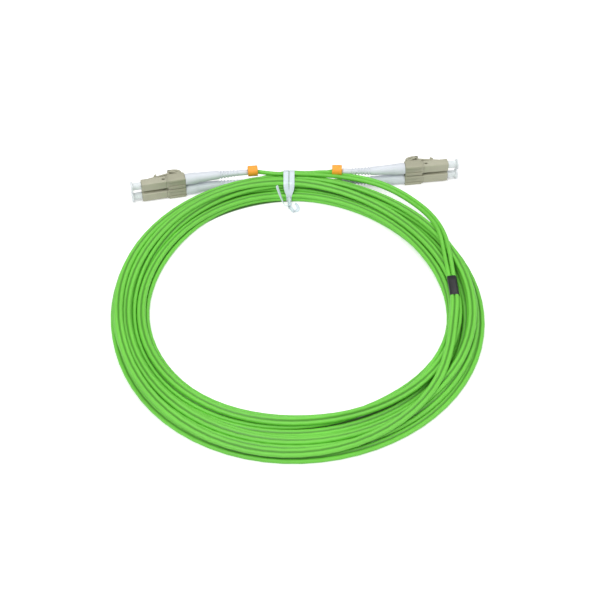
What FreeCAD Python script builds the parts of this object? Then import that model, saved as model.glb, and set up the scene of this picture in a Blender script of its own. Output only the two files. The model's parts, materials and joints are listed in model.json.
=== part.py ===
import FreeCAD, Part

import math
import os

# Duplex fibre patch cord: two strands side by side, wound in one flat coil, with a pair of small
# latched plugs at each end. Millimetres, +Z up, the coil lies on the XY plane and +Y is the side
# where the twist tie holds it. Each plug has its own frame: X points out of the plug along the
# ferrule, Y runs across the pair and Z points to the latch.

Vector = FreeCAD.Vector
UP = Vector(0, 0, 1)

SIZES = [
    # plug housings and the pair
    ("plug_length", 21.5),
    ("housing_width", 4.5),
    ("housing_rear", 9.3),
    ("housing_edge", 0.35),
    ("pair_pitch", 6.25),
    ("nose_wall", 2.0),
    ("nose_bore", 2.0),
    ("cavity_diameter", 3.8),
    ("window_length", 1.5),
    ("window_width", 1.1),
    # latch lever on each housing
    ("latch_hinge_back", 3.9),
    ("latch_hinge_rise", 0.45),
    ("latch_root_radius", 0.4),
    ("latch_reach", 10.6),
    ("latch_rise", 2.25),
    ("latch_thickness", 0.75),
    ("latch_width", 2.6),
    ("lug_back", 4.2),
    ("lug_length", 1.4),
    ("lug_height", 0.8),
    ("lug_width", 4.2),
    # ferrule, its holder and spring
    ("ferrule_diameter", 1.25),
    ("ferrule_protrusion", 4.2),
    ("ferrule_length", 9.7),
    ("ferrule_chamfer", 0.15),
    ("ferrule_travel", 0.6),
    ("holder_diameter", 2.9),
    ("holder_flange", 1.3),
    ("holder_tail_diameter", 1.7),
    ("holder_bore", 1.1),
    ("holder_tail", 5.6),
    ("spring_diameter", 2.7),
    ("spring_wire", 0.34),
    ("spring_turns", 3.0),
    # rear body, crimp and the fibre inside
    ("snout_diameter", 3.2),
    ("snout_length", 2.5),
    ("rear_bore", 2.1),
    ("spigot_diameter", 2.8),
    ("spigot_length", 4.6),
    ("crimp_wall", 0.28),
    ("crimp_length", 4.0),
    ("fibre_diameter", 0.9),
    # boot
    ("boot_diameter", 5.6),
    ("boot_waist", 4.2),
    ("boot_tip", 3.1),
    ("boot_taper_length", 18.5),
    ("boot_rib_pitch", 1.6),
    ("boot_ribs", 5),
    ("boot_groove", 0.35),
    ("boot_tail_diameter", 2.8),
    ("boot_tail_length", 4.4),
    ("boot_socket", 5.6),
    # dust cap
    ("cap_length", 5.0),
    ("cap_diameter", 3.7),
    ("cap_flange_diameter", 5.4),
    ("cap_flange", 0.9),
    # duplex clip and its trigger
    ("clip_width", 11.85),
    ("clip_length", 8.3),
    ("clip_wall", 0.5),
    ("clip_slot", 2.4),
    ("clip_groove", 0.5),
    ("trigger_width", 9.2),
    ("trigger_pivot", 1.3),
    ("trigger_root_radius", 0.5),
    ("trigger_reach", 6.5),
    ("trigger_rise", 3.05),
    ("trigger_thickness", 0.9),
    ("trigger_lip", 0.8),
    # marker ring and the sleeve at the split
    ("marker_length", 4.8),
    ("marker_diameter", 5.2),
    ("marker_offset", 0.6),
    ("marker_slot", 0.6),
    ("sleeve_length", 12.0),
    ("sleeve_wall", 0.2),
    ("sleeve_play", 0.08),
    # cord
    ("strand_diameter", 2.0),
    ("cord_width", 4.1),
    ("coil_inner_at_tie", 66.4),
    ("coil_inner_at_sides", 67.5),
    ("coil_inner_at_front", 72.5),
    ("coil_spread_at_tie", 11.3),
    ("coil_spread_at_sides", 12.3),
    ("coil_spread_at_front", 17.0),
    ("layer_rise", 2.78),
    ("first_layer_rise", 3.15),
    ("tie_lift", 0.9),
    # twist tie
    ("tie_band_width", 3.8),
    ("tie_thickness", 0.4),
    ("tie_play", 0.6),
    ("tie_room_outside", 3.5),
    ("tie_headroom", 0.35),
    ("tie_tail_width", 1.6),
    # clearances
    ("slide_gap", 0.03),
    ("fit_gap", 0.05),
    ("seat_gap", 0.1),
    ("free_gap", 0.25),
]

doc = FreeCAD.newDocument("patch_cord")
sheet = doc.addObject("Spreadsheet::Sheet", "Sizes")
for row, (alias, value) in enumerate(SIZES, start=1):
    sheet.set(f"A{row}", alias)
    sheet.set(f"B{row}", str(value))
    sheet.setAlias(f"B{row}", alias)
doc.recompute()
size = {alias: float(sheet.get(alias)) for alias, value in SIZES}

# Where the coil and the tie round it lie at the tie, worked out from the sizes above
COIL_OUTER_AT_TIE = size["coil_inner_at_tie"] + size["coil_spread_at_tie"] + size["cord_width"]
COIL_TOP_AT_TIE = (size["strand_diameter"] * 0.9 + size["first_layer_rise"] + 2 * size["layer_rise"]
                   + size["tie_lift"])
TIE_INNER = size["coil_inner_at_tie"] - size["tie_play"]
TIE_OUTER = COIL_OUTER_AT_TIE + size["tie_room_outside"]
TIE_TOP = COIL_TOP_AT_TIE + size["tie_headroom"]

parts = []


def keep(obj, name):
    """Give an object its piece name and put it among the pieces that are written out."""
    obj.Label = name
    parts.append(obj)
    return obj


def solid_piece(name, shape, placement=None):
    """A piece whose shape is worked out here, in its own frame, and then placed."""
    obj = doc.addObject("Part::Feature", name)
    obj.Shape = shape
    if placement:
        obj.Placement = placement
    return keep(obj, name)


# Parametric sketches

def origin_plane(body, role):
    return [plane for plane in body.Origin.OriginFeatures if plane.Role == role][0]


def new_sketch(body, name, role, offset=None):
    sketch = body.newObject("Sketcher::SketchObject", name)
    sketch.AttachmentSupport = [(origin_plane(body, role), "")]
    sketch.MapMode = "FlatFace"
    if offset:
        sketch.setExpression("AttachmentOffset.Base.z", offset)
    return sketch


def polygon_sketch(body, name, role, corners, offset=None):
    """A closed outline. Each corner is a pair of expressions on the sheet, measured from the origin."""
    import Sketcher
    sketch = new_sketch(body, name, role, offset)
    count = len(corners)
    ring = [Vector(math.cos(2 * math.pi * i / count), math.sin(2 * math.pi * i / count), 0)
            for i in range(count)]
    for i in range(count):
        sketch.addGeometry(Part.LineSegment(ring[i], ring[(i + 1) % count]), False)
    for i in range(count):
        sketch.addConstraint(Sketcher.Constraint("Coincident", i, 2, (i + 1) % count, 1))
    for i, (across, along) in enumerate(corners):
        for kind, expression in (("DistanceX", across), ("DistanceY", along)):
            index = sketch.addConstraint(Sketcher.Constraint(kind, -1, 1, i, 1, 1.0))
            sketch.setExpression(f"Constraints[{index}]", expression)
    return sketch


def circle_sketch(body, name, role, diameter, offset=None):
    import Sketcher
    sketch = new_sketch(body, name, role, offset)
    sketch.addGeometry(Part.Circle(Vector(0, 0, 0), UP, 1.0), False)
    sketch.addConstraint(Sketcher.Constraint("Coincident", 0, 3, -1, 1))
    index = sketch.addConstraint(Sketcher.Constraint("Diameter", 0, 2.0))
    sketch.setExpression(f"Constraints[{index}]", diameter)
    return sketch


def turned_piece(name, profile, placement):
    """A round piece: its half section, as (distance along X, radius), turned about the X axis."""
    body = doc.addObject("PartDesign::Body", name)
    sketch = polygon_sketch(body, name + "_section", "XY_Plane", profile)
    turn = body.newObject("PartDesign::Revolution", name + "_turn")
    turn.Profile = sketch
    turn.ReferenceAxis = (sketch, ["H_Axis"])
    turn.Angle = 360
    body.Placement = placement
    return keep(body, name)


def rod(label, sides, diameter, length, start):
    """A round or, with a number of sides, a polygonal rod along X."""
    if sides:
        piece = doc.addObject("Part::Prism", label)
        piece.Polygon = sides
        piece.setExpression("Circumradius", f"({diameter}) / 2")
    else:
        piece = doc.addObject("Part::Cylinder", label)
        piece.setExpression("Radius", f"({diameter}) / 2")
    piece.setExpression("Height", length)
    piece.Placement = FreeCAD.Placement(Vector(0, 0, 0), FreeCAD.Rotation(Vector(0, 1, 0), 90))
    piece.setExpression("Placement.Base.x", start)
    return piece


def stacked_piece(name, solids, bores, place):
    """A piece made of rods and blocks in a row, with bores through them."""
    whole = solids[0]
    if len(solids) > 1:
        whole = doc.addObject("Part::MultiFuse", name + "_whole")
        whole.Shapes = solids
    elif not bores:
        doc.recompute()
        whole.setExpression("Placement.Base.x", None)
    if bores:
        tool = bores[0]
        if len(bores) > 1:
            tool = doc.addObject("Part::MultiFuse", name + "_bores")
            tool.Shapes = bores
        cut = doc.addObject("Part::Cut", name)
        cut.Base = whole
        cut.Tool = tool
        whole = cut
    whole.Placement = place.multiply(whole.Placement)
    return keep(whole, name)


def regular(sides, radius):
    return [(f"({radius}) * {math.cos(2 * math.pi * (i + 0.5) / sides):.6f}",
             f"({radius}) * {math.sin(2 * math.pi * (i + 0.5) / sides):.6f}") for i in range(sides)]


def faceted_solid(rings, closed=False):
    """Solid through outlines of equal numbers of points, with triangles for sides."""
    faces = []
    count = len(rings[0])
    following = rings[1:] + rings[:1] if closed else rings[1:]
    for one, other in zip(rings, following):
        for i in range(count):
            j = (i + 1) % count
            for corners in ((one[i], one[j], other[j]), (one[i], other[j], other[i])):
                faces.append(Part.Face(Part.makePolygon(list(corners) + [corners[0]])))
    if not closed:
        for ends in (rings[0], rings[-1]):
            faces.append(Part.Face(Part.makePolygon(ends + [ends[0]])))
    shell = Part.Shell(faces)
    shell.sewShape()
    solid = Part.Solid(shell)
    return solid if solid.Volume > 0 else solid.reversed()


def rectangle(half_width, half_height):
    return [(f"-({half_width})", f"-({half_height})"), (half_width, f"-({half_height})"),
            (half_width, half_height), (f"-({half_width})", half_height)]


# Shapes along paths

def strand_section(centre, along, across, outline):
    """A closed outline of (across, upward) points, square to the path at its first point."""
    upward = across.cross(along).normalize()
    if upward.z < 0:
        upward = upward * -1
    points = [centre + across * a + upward * b for a, b in outline]
    return Part.makePolygon(points + [points[0]])


def polygon_outline(sides, radius):
    return [(radius * math.cos(2 * math.pi * (i + 0.5) / sides),
             radius * math.sin(2 * math.pi * (i + 0.5) / sides)) for i in range(sides)]


def arc_between(start, direction, end):
    """The arc that leaves start in the given direction and ends at end."""
    chord = end - start
    normal = (chord - direction * chord.dot(direction)).normalize()
    radius = chord.dot(chord) / (2 * chord.dot(normal))
    centre = start + normal * radius
    middle = centre + ((start + end) * 0.5 - centre).normalize() * radius
    return Part.Arc(start, middle, end).toShape()


def biarc(start, start_direction, end, end_direction):
    """Two tangent arcs from one point and direction to another."""
    chord = end - start
    a = 2 * (1 - start_direction.dot(end_direction))
    b = 2 * chord.dot(start_direction + end_direction)
    reach = (math.sqrt(b * b + 4 * a * chord.dot(chord)) - b) / (2 * a)
    first = start + start_direction * reach
    second = end - end_direction * reach
    joint = (first + second) * 0.5
    return [arc_between(start, start_direction, joint),
            arc_between(joint, (second - first).normalize(), end)]


def rounded_route(points, name):
    """Straight runs joined by tangent arcs, each as large as its two runs allow."""
    edges = []
    radii = []
    here = points[0]
    for before, corner, after in zip(points, points[1:], points[2:]):
        into = (corner - before).normalize()
        out = (after - corner).normalize()
        half_turn = into.getAngle(out) / 2
        reach = 0.45 * min((corner - before).Length, (after - corner).Length)
        radii.append(reach / math.tan(half_turn))
        start = corner - into * reach
        if (start - here).Length > 1e-6:
            edges.append(Part.LineSegment(here, start).toShape())
        here = corner + out * reach
        edges.append(arc_between(start, into, here))
    edges.append(Part.LineSegment(here, points[-1]).toShape())
    print(name, "bend radii", " ".join(f"{r:.0f}" for r in radii))
    return edges


# Where the plugs lie. Each rear axis point is where the pair's middle leaves the rear bodies,
# and the yaw is the direction in which the plug points.

CLIP_LIFT = size["clip_width"] / 2
LEFT_REAR = Vector(-55.1, 76.4, CLIP_LIFT)
LEFT_YAW = 180 + 12.5
LEFT_BOOT_TURN = -6.0
RIGHT_REAR = Vector(52.4, 84.6, CLIP_LIFT)
RIGHT_YAW = 7.5
RIGHT_BOOT_TURN = 9.0


def pair_placement(rear, yaw):
    """The frame of a pair of plugs, with its latches away from the near side of the coil."""
    out = Vector(math.cos(math.radians(yaw)), math.sin(math.radians(yaw)), 0)
    latch = Vector(0, 1, 0) - out * out.y
    latch.normalize()
    rotation = FreeCAD.Rotation(out, latch.cross(out), latch, "ZXY")
    return FreeCAD.Placement(rear, rotation)


def plug_placement(pair, level):
    """One plug of the pair, above or below the pair's middle."""
    across = pair.Rotation.multVec(Vector(0, 1, 0))
    side = size["pair_pitch"] / 2 * (level if across.z > 0 else -level)
    return pair.multiply(FreeCAD.Placement(Vector(0, side, 0), FreeCAD.Rotation()))


# Pieces of one plug

def front_housing(name, place):
    """Square housing with a stepped bore, snap windows in both sides and the latch's root block."""
    body = doc.addObject("PartDesign::Body", name)
    outline = polygon_sketch(body, name + "_outline", "YZ_Plane",
                             rectangle("Sizes.housing_width / 2", "Sizes.housing_width / 2"),
                             "Sizes.housing_rear")
    pad = body.newObject("PartDesign::Pad", name + "_block")
    pad.Profile = outline
    pad.setExpression("Length", "Sizes.plug_length - Sizes.housing_rear")
    doc.recompute()
    long_edges = [f"Edge{i}" for i, edge in enumerate(pad.Shape.Edges, start=1)
                  if abs(edge.tangentAt(edge.FirstParameter).x) > 0.9]
    chamfer = body.newObject("PartDesign::Chamfer", name + "_edges")
    chamfer.Base = (pad, long_edges)
    chamfer.setExpression("Size", "Sizes.housing_edge")

    root = "Sizes.plug_length - Sizes.latch_hinge_back + Sizes.latch_root_radius + Sizes.seat_gap"
    top = "Sizes.housing_width / 2"
    block = polygon_sketch(body, name + "_root_profile", "XZ_Plane", [
        (root, f"{top} - Sizes.clip_wall"),
        (f"{root} + Sizes.lug_length * 2", f"{top} - Sizes.clip_wall"),
        (f"{root} + Sizes.lug_length", f"{top} + Sizes.latch_root_radius * 2"),
        (root, f"{top} + Sizes.latch_root_radius * 2")])
    block_pad = body.newObject("PartDesign::Pad", name + "_root")
    block_pad.Profile = block
    block_pad.setExpression("Length", "Sizes.latch_width")
    block_pad.SideType = "Symmetric"

    cavity = polygon_sketch(body, name + "_cavity_outline", "YZ_Plane",
                            regular(6, "Sizes.cavity_diameter / 2"), "Sizes.housing_rear")
    cut = body.newObject("PartDesign::Pocket", name + "_cavity")
    cut.Profile = cavity
    cut.Reversed = True
    cut.setExpression("Length", "Sizes.plug_length - Sizes.housing_rear - Sizes.nose_wall")
    nose = polygon_sketch(body, name + "_nose_outline", "YZ_Plane", regular(12, "Sizes.nose_bore / 2"),
                          "Sizes.plug_length")
    nose_cut = body.newObject("PartDesign::Pocket", name + "_nose")
    nose_cut.Profile = nose
    nose_cut.setExpression("Length", "Sizes.nose_wall + 1")

    middle = "Sizes.housing_rear + Sizes.snout_length / 2"
    window = polygon_sketch(body, name + "_window_profile", "XZ_Plane", [
        (f"{middle} - Sizes.window_length / 2", "-Sizes.window_width / 2"),
        (f"{middle} + Sizes.window_length / 2", "-Sizes.window_width / 2"),
        (f"{middle} + Sizes.window_length / 2", "Sizes.window_width / 2"),
        (f"{middle} - Sizes.window_length / 2", "Sizes.window_width / 2")])
    windows = body.newObject("PartDesign::Pocket", name + "_windows")
    windows.Profile = window
    windows.SideType = "Symmetric"
    windows.setExpression("Length", "Sizes.housing_width * 2")
    body.Placement = place
    return keep(body, name)


def latch_lever(name, place):
    """Thin lever that rises from its root near the nose to a free end under the trigger."""
    hinge_x = size["plug_length"] - size["latch_hinge_back"]
    hinge_z = size["housing_width"] / 2 + size["latch_hinge_rise"]
    root = size["latch_root_radius"]
    end_x = hinge_x - size["latch_reach"]
    end_z = hinge_z + root + size["latch_rise"]
    slope = (end_z - hinge_z - root) / size["latch_reach"]
    thick = size["latch_thickness"]

    def top(x):
        return hinge_z + root + (hinge_x - x) * slope

    lug_front = hinge_x - size["lug_back"] + size["lug_length"]
    lug_rear = hinge_x - size["lug_back"]
    outline = [(hinge_x, hinge_z + root), (end_x, end_z), (end_x - thick * 0.3, end_z - thick * 0.5),
               (end_x, end_z - thick), (hinge_x, hinge_z - root), (hinge_x + root * 0.8, hinge_z - root * 0.4),
               (hinge_x + root * 0.8, hinge_z + root * 0.4)]
    width = size["latch_width"]
    corners = [Vector(x, -width / 2, z) for x, z in outline]
    arm = Part.Face(Part.makePolygon(corners + [corners[0]])).extrude(Vector(0, width, 0))
    side = -size["lug_width"] / 2
    lug = Part.makePolygon([Vector(lug_front, side, top(lug_front) - thick / 2),
                            Vector(lug_front, side, top(lug_front)),
                            Vector(lug_rear, side, top(lug_rear) + size["lug_height"]),
                            Vector(lug_rear, side, top(lug_rear) - thick / 2),
                            Vector(lug_front, side, top(lug_front) - thick / 2)])
    lugs = Part.Face(lug).extrude(Vector(0, size["lug_width"], 0))
    return solid_piece(name, arm.fuse(lugs).removeSplitter(), place)


def ferrule(name, place):
    """White ceramic rod with a chamfered tip, its fibre cured and polished inside."""
    tip = "Sizes.plug_length + Sizes.ferrule_protrusion"
    rear = f"{tip} - Sizes.ferrule_length"
    radius = "Sizes.ferrule_diameter / 2"
    return turned_piece(name, [(rear, "0"), (rear, radius), (f"{tip} - Sizes.ferrule_chamfer", radius),
                               (tip, f"{radius} - Sizes.ferrule_chamfer"), (tip, "0")], place)


def ferrule_holder(name, place):
    """Six-sided metal holder: the ferrule's rear end sits in it and the spring pushes on its flange."""
    front = "Sizes.plug_length - Sizes.nose_wall - Sizes.seat_gap"
    step = f"{front} - Sizes.holder_flange"
    rear = f"{step} - Sizes.holder_tail"
    seat = "Sizes.plug_length + Sizes.ferrule_protrusion - Sizes.ferrule_length"
    solids = [rod(name + "_flange", 6, "Sizes.holder_diameter", "Sizes.holder_flange", step),
              rod(name + "_tail", 6, "Sizes.holder_tail_diameter", "Sizes.holder_tail", rear)]
    bores = [rod(name + "_seat", 12, "Sizes.ferrule_diameter + 3 * Sizes.slide_gap", f"{front} + 1 - ({seat})", seat),
             rod(name + "_passage", 6, "Sizes.holder_bore", "Sizes.holder_tail + Sizes.holder_flange + 1",
                 f"{rear} - 1")]
    return stacked_piece(name, solids, bores, place)


def spring_span():
    """Where the spring stands: at the length it has with the ferrule pushed back."""
    rear = size["housing_rear"] + size["snout_length"]
    front = size["plug_length"] - size["nose_wall"] - size["seat_gap"] - size["holder_flange"]
    return rear + size["fit_gap"], front - size["ferrule_travel"] - size["fit_gap"]


def ferrule_spring(name, place):
    """Coil spring of square wire round the holder's tail, drawn in short chords."""
    rear, front = spring_span()
    wire = size["spring_wire"]
    radius = (size["spring_diameter"] - wire) / 2
    turns = int(size["spring_turns"])
    chords = 7
    pitch = (front - rear - wire) / turns
    rings = []
    for i in range(turns * chords + 1):
        angle = 2 * math.pi * i / chords
        middle = rear + wire / 2 + pitch * i / chords
        rings.append([Vector(middle + a * wire / 2, (radius + b * wire / 2) * math.cos(angle),
                             (radius + b * wire / 2) * math.sin(angle))
                      for a, b in ((-1, -1), (1, -1), (1, 1), (-1, 1))])
    return solid_piece(name, faceted_solid(rings), place)


def rear_body(name, place):
    """Square rear body with a snout into the housing and a spigot for the crimp."""
    block = doc.addObject("Part::Box", name + "_block")
    block.setExpression("Length", "Sizes.housing_rear - Sizes.seat_gap")
    for side in ("Width", "Height"):
        block.setExpression(side, "Sizes.housing_width")
    for axis in ("y", "z"):
        block.setExpression("Placement.Base." + axis, "-Sizes.housing_width / 2")
    snout = rod(name + "_snout", 6, "Sizes.snout_diameter", "Sizes.snout_length + Sizes.seat_gap",
                "Sizes.housing_rear - Sizes.seat_gap")
    spigot = rod(name + "_spigot", 6, "Sizes.spigot_diameter", "Sizes.spigot_length",
                 "-Sizes.spigot_length")
    bore = rod(name + "_bore", 6, "Sizes.rear_bore",
               "Sizes.spigot_length + Sizes.housing_rear + Sizes.snout_length + 2",
               "-Sizes.spigot_length - 1")
    return stacked_piece(name, [block, snout, spigot], [bore], place)


def crimp_sleeve(name, place):
    """Short metal tube, pressed six-sided, that grips the strand's yarn on the spigot."""
    inner = "Sizes.spigot_diameter + 2 * Sizes.fit_gap"
    start = "-Sizes.free_gap - Sizes.crimp_length"
    tube = rod(name + "_tube", 6, f"{inner} + 2 * Sizes.crimp_wall", "Sizes.crimp_length", start)
    bore = rod(name + "_bore", 6, inner, "Sizes.crimp_length + 2", f"{start} - 1")
    return stacked_piece(name, [tube], [bore], place)


def fibre(name, place):
    """The coated fibre through the rear body, from the strand's end to the holder's tail."""
    length = "Sizes.spigot_length + Sizes.housing_rear + Sizes.snout_length - Sizes.free_gap"
    return stacked_piece(name, [rod(name, 6, "Sizes.fibre_diameter", length, "-Sizes.spigot_length")], [],
                         place)


def dust_cap(name, place):
    """Flanged cap, closed at its flange, that slides off the ferrule."""
    face = "Sizes.plug_length + Sizes.seat_gap"
    solids = [rod(name + "_neck", 12, "Sizes.cap_diameter", "Sizes.cap_length", face),
              rod(name + "_flange", 12, "Sizes.cap_flange_diameter", "Sizes.cap_flange",
                  f"{face} + Sizes.cap_length - Sizes.cap_flange")]
    bore = rod(name + "_bore", 12, "Sizes.ferrule_diameter + 4 * Sizes.slide_gap",
               "Sizes.ferrule_protrusion + 1", f"{face} - 1")
    return stacked_piece(name, solids, [bore], place)


# Boot and the strand inside it follow one axis: a straight socket and then an even bend

def boot_length():
    return size["boot_taper_length"] + size["boot_rib_pitch"] * size["boot_ribs"] + size["boot_tail_length"]


def boot_axis(distance, turn):
    """Point and direction on the boot's axis, behind the plug, in the plug's frame."""
    socket = size["boot_socket"]
    if abs(turn) < 1e-6 or distance <= socket:
        return Vector(-distance, 0, 0), Vector(-1, 0, 0)
    angle = math.radians(turn)
    radius = (boot_length() - socket) / angle
    share = (distance - socket) / radius
    point = Vector(-socket - radius * math.sin(share), 0, radius * (1 - math.cos(share)))
    return point, Vector(-math.cos(share), 0, math.sin(share))


def ring(distance, diameter, turn):
    point, direction = boot_axis(distance, turn)
    across = Vector(0, 1, 0)
    upward = direction.cross(across)
    return [point + across * a + upward * b for a, b in polygon_outline(10, diameter / 2)]


def boot(name, place, turn):
    """Tapered strain relief with grooves near its tip, a narrow tail and a stepped bore."""
    taper = size["boot_taper_length"]
    stations = [(size["seat_gap"], size["boot_diameter"]), (size["boot_socket"], size["boot_diameter"] - 0.3)]
    steps = 3
    for i in range(1, steps + 1):
        share = i / steps
        start = size["boot_socket"]
        diameter = stations[1][1] + (size["boot_waist"] - stations[1][1]) * share
        stations.append((start + (taper - start) * share, diameter))
    ribs = int(size["boot_ribs"])
    for i in range(ribs):
        at = taper + size["boot_rib_pitch"] * (i + 0.5)
        share = (i + 1) / ribs
        crest = size["boot_waist"] + (size["boot_tip"] - size["boot_waist"]) * share
        stations.append((at, crest - 2 * size["boot_groove"]))
        stations.append((taper + size["boot_rib_pitch"] * (i + 1), crest))
    tail = taper + size["boot_rib_pitch"] * ribs
    stations.append((tail + size["fit_gap"], size["boot_tail_diameter"]))
    stations.append((tail + size["boot_tail_length"], size["boot_tail_diameter"]))
    crimp = size["spigot_diameter"] + 2 * size["crimp_wall"] + 8 * size["fit_gap"]
    strand = size["strand_diameter"] + 4 * size["fit_gap"]
    socket = size["boot_socket"]
    bore = [(size["seat_gap"], crimp), (socket - 0.4, crimp), (socket, strand)]
    bore += [(socket + (boot_length() - socket) * i / 3, strand) for i in range(1, 4)]
    rings = [ring(at, diameter, turn) for at, diameter in stations + bore[::-1]]
    return solid_piece(name, faceted_solid(rings, closed=True), place)


# Pieces of a pair

def duplex_clip(name, place):
    """Block with two channels for the rear bodies, slots in its near wall and side grooves."""
    body = doc.addObject("PartDesign::Body", name)
    half_height = "Sizes.housing_width / 2 + Sizes.clip_wall"
    outline = polygon_sketch(body, name + "_outline", "YZ_Plane",
                             rectangle("Sizes.clip_width / 2", half_height), "Sizes.seat_gap * 2")
    block = body.newObject("PartDesign::Pad", name + "_block")
    block.Profile = outline
    block.setExpression("Length", "Sizes.clip_length")
    doc.recompute()
    long_edges = [f"Edge{i}" for i, edge in enumerate(block.Shape.Edges, start=1)
                  if abs(edge.tangentAt(edge.FirstParameter).x) > 0.9]
    chamfer = body.newObject("PartDesign::Chamfer", name + "_edges")
    chamfer.Base = (block, long_edges)
    chamfer.setExpression("Size", "Sizes.clip_wall")
    channel_half = "Sizes.housing_width / 2 + Sizes.fit_gap"
    for word, sign in (("low", "-"), ("high", "")):
        middle = f"{sign}Sizes.pair_pitch / 2"
        channel = polygon_sketch(body, f"{name}_{word}_channel_outline", "YZ_Plane", [
            (f"{middle} - ({channel_half})", f"-({channel_half})"),
            (f"{middle} + ({channel_half})", f"-({channel_half})"),
            (f"{middle} + ({channel_half})", channel_half),
            (f"{middle} - ({channel_half})", channel_half)])
        cut = body.newObject("PartDesign::Pocket", f"{name}_{word}_channel")
        cut.Profile = channel
        cut.Reversed = True
        cut.setExpression("Length", "Sizes.clip_length + 2")
        slot = polygon_sketch(body, f"{name}_{word}_slot_outline", "YZ_Plane", [
            (f"{middle} - Sizes.clip_slot / 2", f"-({half_height}) - 1"),
            (f"{middle} + Sizes.clip_slot / 2", f"-({half_height}) - 1"),
            (f"{middle} + Sizes.clip_slot / 2", "0"),
            (f"{middle} - Sizes.clip_slot / 2", "0")])
        slot_cut = body.newObject("PartDesign::Pocket", f"{name}_{word}_slot")
        slot_cut.Profile = slot
        slot_cut.Reversed = True
        slot_cut.setExpression("Length", "Sizes.clip_length + 2")
    groove = polygon_sketch(body, name + "_groove_outline", "YZ_Plane",
                            [("-Sizes.clip_groove / 2", f"-({half_height}) - 1"),
                             ("Sizes.clip_groove / 2", f"-({half_height}) - 1"),
                             ("Sizes.clip_groove / 2", f"-({half_height}) + Sizes.clip_wall * 2"),
                             ("-Sizes.clip_groove / 2", f"-({half_height}) + Sizes.clip_wall * 2")])
    groove_cut = body.newObject("PartDesign::Pocket", name + "_groove")
    groove_cut.Profile = groove
    groove_cut.Reversed = True
    groove_cut.setExpression("Length", "Sizes.clip_length + 2")
    body.Placement = place
    return keep(body, name)


def clip_trigger(name, place):
    """Lever across both plugs: hinged at the clip's rear, its front lip presses both latches."""
    hinge_x = size["trigger_pivot"]
    root = size["trigger_root_radius"]
    hinge_z = size["housing_width"] / 2 + size["clip_wall"] + size["free_gap"] + root
    reach = size["trigger_reach"]
    thick = size["trigger_thickness"]
    top_z = hinge_z + root + size["trigger_rise"]
    latch_x = size["plug_length"] - size["latch_hinge_back"] - size["latch_reach"]
    latch_z = size["housing_width"] / 2 + size["latch_hinge_rise"] + size["latch_root_radius"] + size["latch_rise"]
    lip_z = latch_z + size["free_gap"] - 0.05
    front = hinge_x + reach
    lip = size["trigger_lip"]
    lip_rear = min(front - lip, latch_x + lip)
    outline = [(hinge_x, hinge_z + root), (front - lip, top_z), (front, top_z - 0.15), (front, lip_z),
               (lip_rear, lip_z), (lip_rear, top_z - thick - 0.25), (hinge_x, hinge_z - root),
               (hinge_x - root * 0.8, hinge_z - root * 0.4), (hinge_x - root * 0.8, hinge_z + root * 0.4)]
    width = size["trigger_width"]
    corners = [Vector(x, -width / 2, z) for x, z in outline]
    lever = Part.Face(Part.makePolygon(corners + [corners[0]])).extrude(Vector(0, width, 0))
    return solid_piece(name, lever, place)


def marker_ring(name, place, turn):
    """Coloured split ring on the strand, just behind the boot's tail, thicker away from the coil."""
    point, direction = boot_axis(boot_length(), turn)
    start = point + direction * size["seat_gap"]
    upward = place.inverse().Rotation.multVec(UP)
    across = Vector(0, 1, 0)
    upright = direction.cross(across)
    thick_side = (upward - upright) * size["marker_offset"]

    def tube(middle, sides, radius):
        corners = [middle + across * a + upright * b for a, b in polygon_outline(sides, radius)]
        face = Part.Face(Part.makePolygon(corners + [corners[0]]))
        return face.extrude(direction * length)

    length = size["marker_length"]
    outer = tube(start + thick_side, 14, size["marker_diameter"] / 2)
    length = size["marker_length"] + 2
    inner = tube(start - direction, 8, size["strand_diameter"] / 2 + 3 * size["fit_gap"])
    slot = Part.makeBox(size["marker_length"] + 2, size["marker_slot"], size["marker_diameter"])
    slot.Placement = FreeCAD.Placement(start - direction - across * (size["marker_slot"] / 2),
                                       FreeCAD.Rotation(direction, across, Vector(0, 0, 0), "XYZ"))
    return solid_piece(name, outer.cut(inner).cut(slot), place)


# Cord

CORD_OUTLINE = [(-0.5, -0.5), (-0.33, 0.5), (0.33, 0.5), (0.5, -0.5)]
TIE_ANGLE = math.radians(93)
START_ANGLE = math.radians(183)
END_ANGLE = math.radians(358)
FULL_TURNS = 9
TURNS = FULL_TURNS + (END_ANGLE - START_ANGLE) / (2 * math.pi)
FIRST_LAYER_TURNS = 2.0
CROSSING = 0.2
LAYER_TURNS = (TURNS - CROSSING - FIRST_LAYER_TURNS) / 3
REVERSALS = [FIRST_LAYER_TURNS + LAYER_TURNS * i for i in range(3)]
START_SHARE = 0.86
END_SHARE = 0.05
CLIMB_TURNS = 0.4
CROSSING_RISE = 2.7
SLEEVE_RISE = 0.65
START_ROLL = 3.9
LAST_NODES = [0.24, 0.12]


def smooth(x):
    x = max(0.0, min(1.0, x))
    return x * x * (3 - 2 * x)


def round_the_coil(angle, at_tie, at_sides, at_front):
    """A size that changes round the coil from the tie to the sides and the front."""
    ends = (at_tie + at_front) / 2
    return ((ends + at_sides) / 2 - (at_front - at_tie) / 2 * math.sin(angle)
            - (ends - at_sides) / 2 * math.cos(2 * angle))


def spread_share(turn):
    """How far out the cord lies in the bundle, from 0 at the hole to 1 at the outside."""
    if turn < FIRST_LAYER_TURNS:
        return START_SHARE * (1 - turn / FIRST_LAYER_TURNS)
    along = (turn - FIRST_LAYER_TURNS) / LAYER_TURNS
    if along < 1:
        return along
    if along < 2:
        return 2 - along
    if along < 3:
        return along - 2
    return 1 - (1 - END_SHARE) * smooth((turn - TURNS + CROSSING) / CROSSING)


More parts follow.
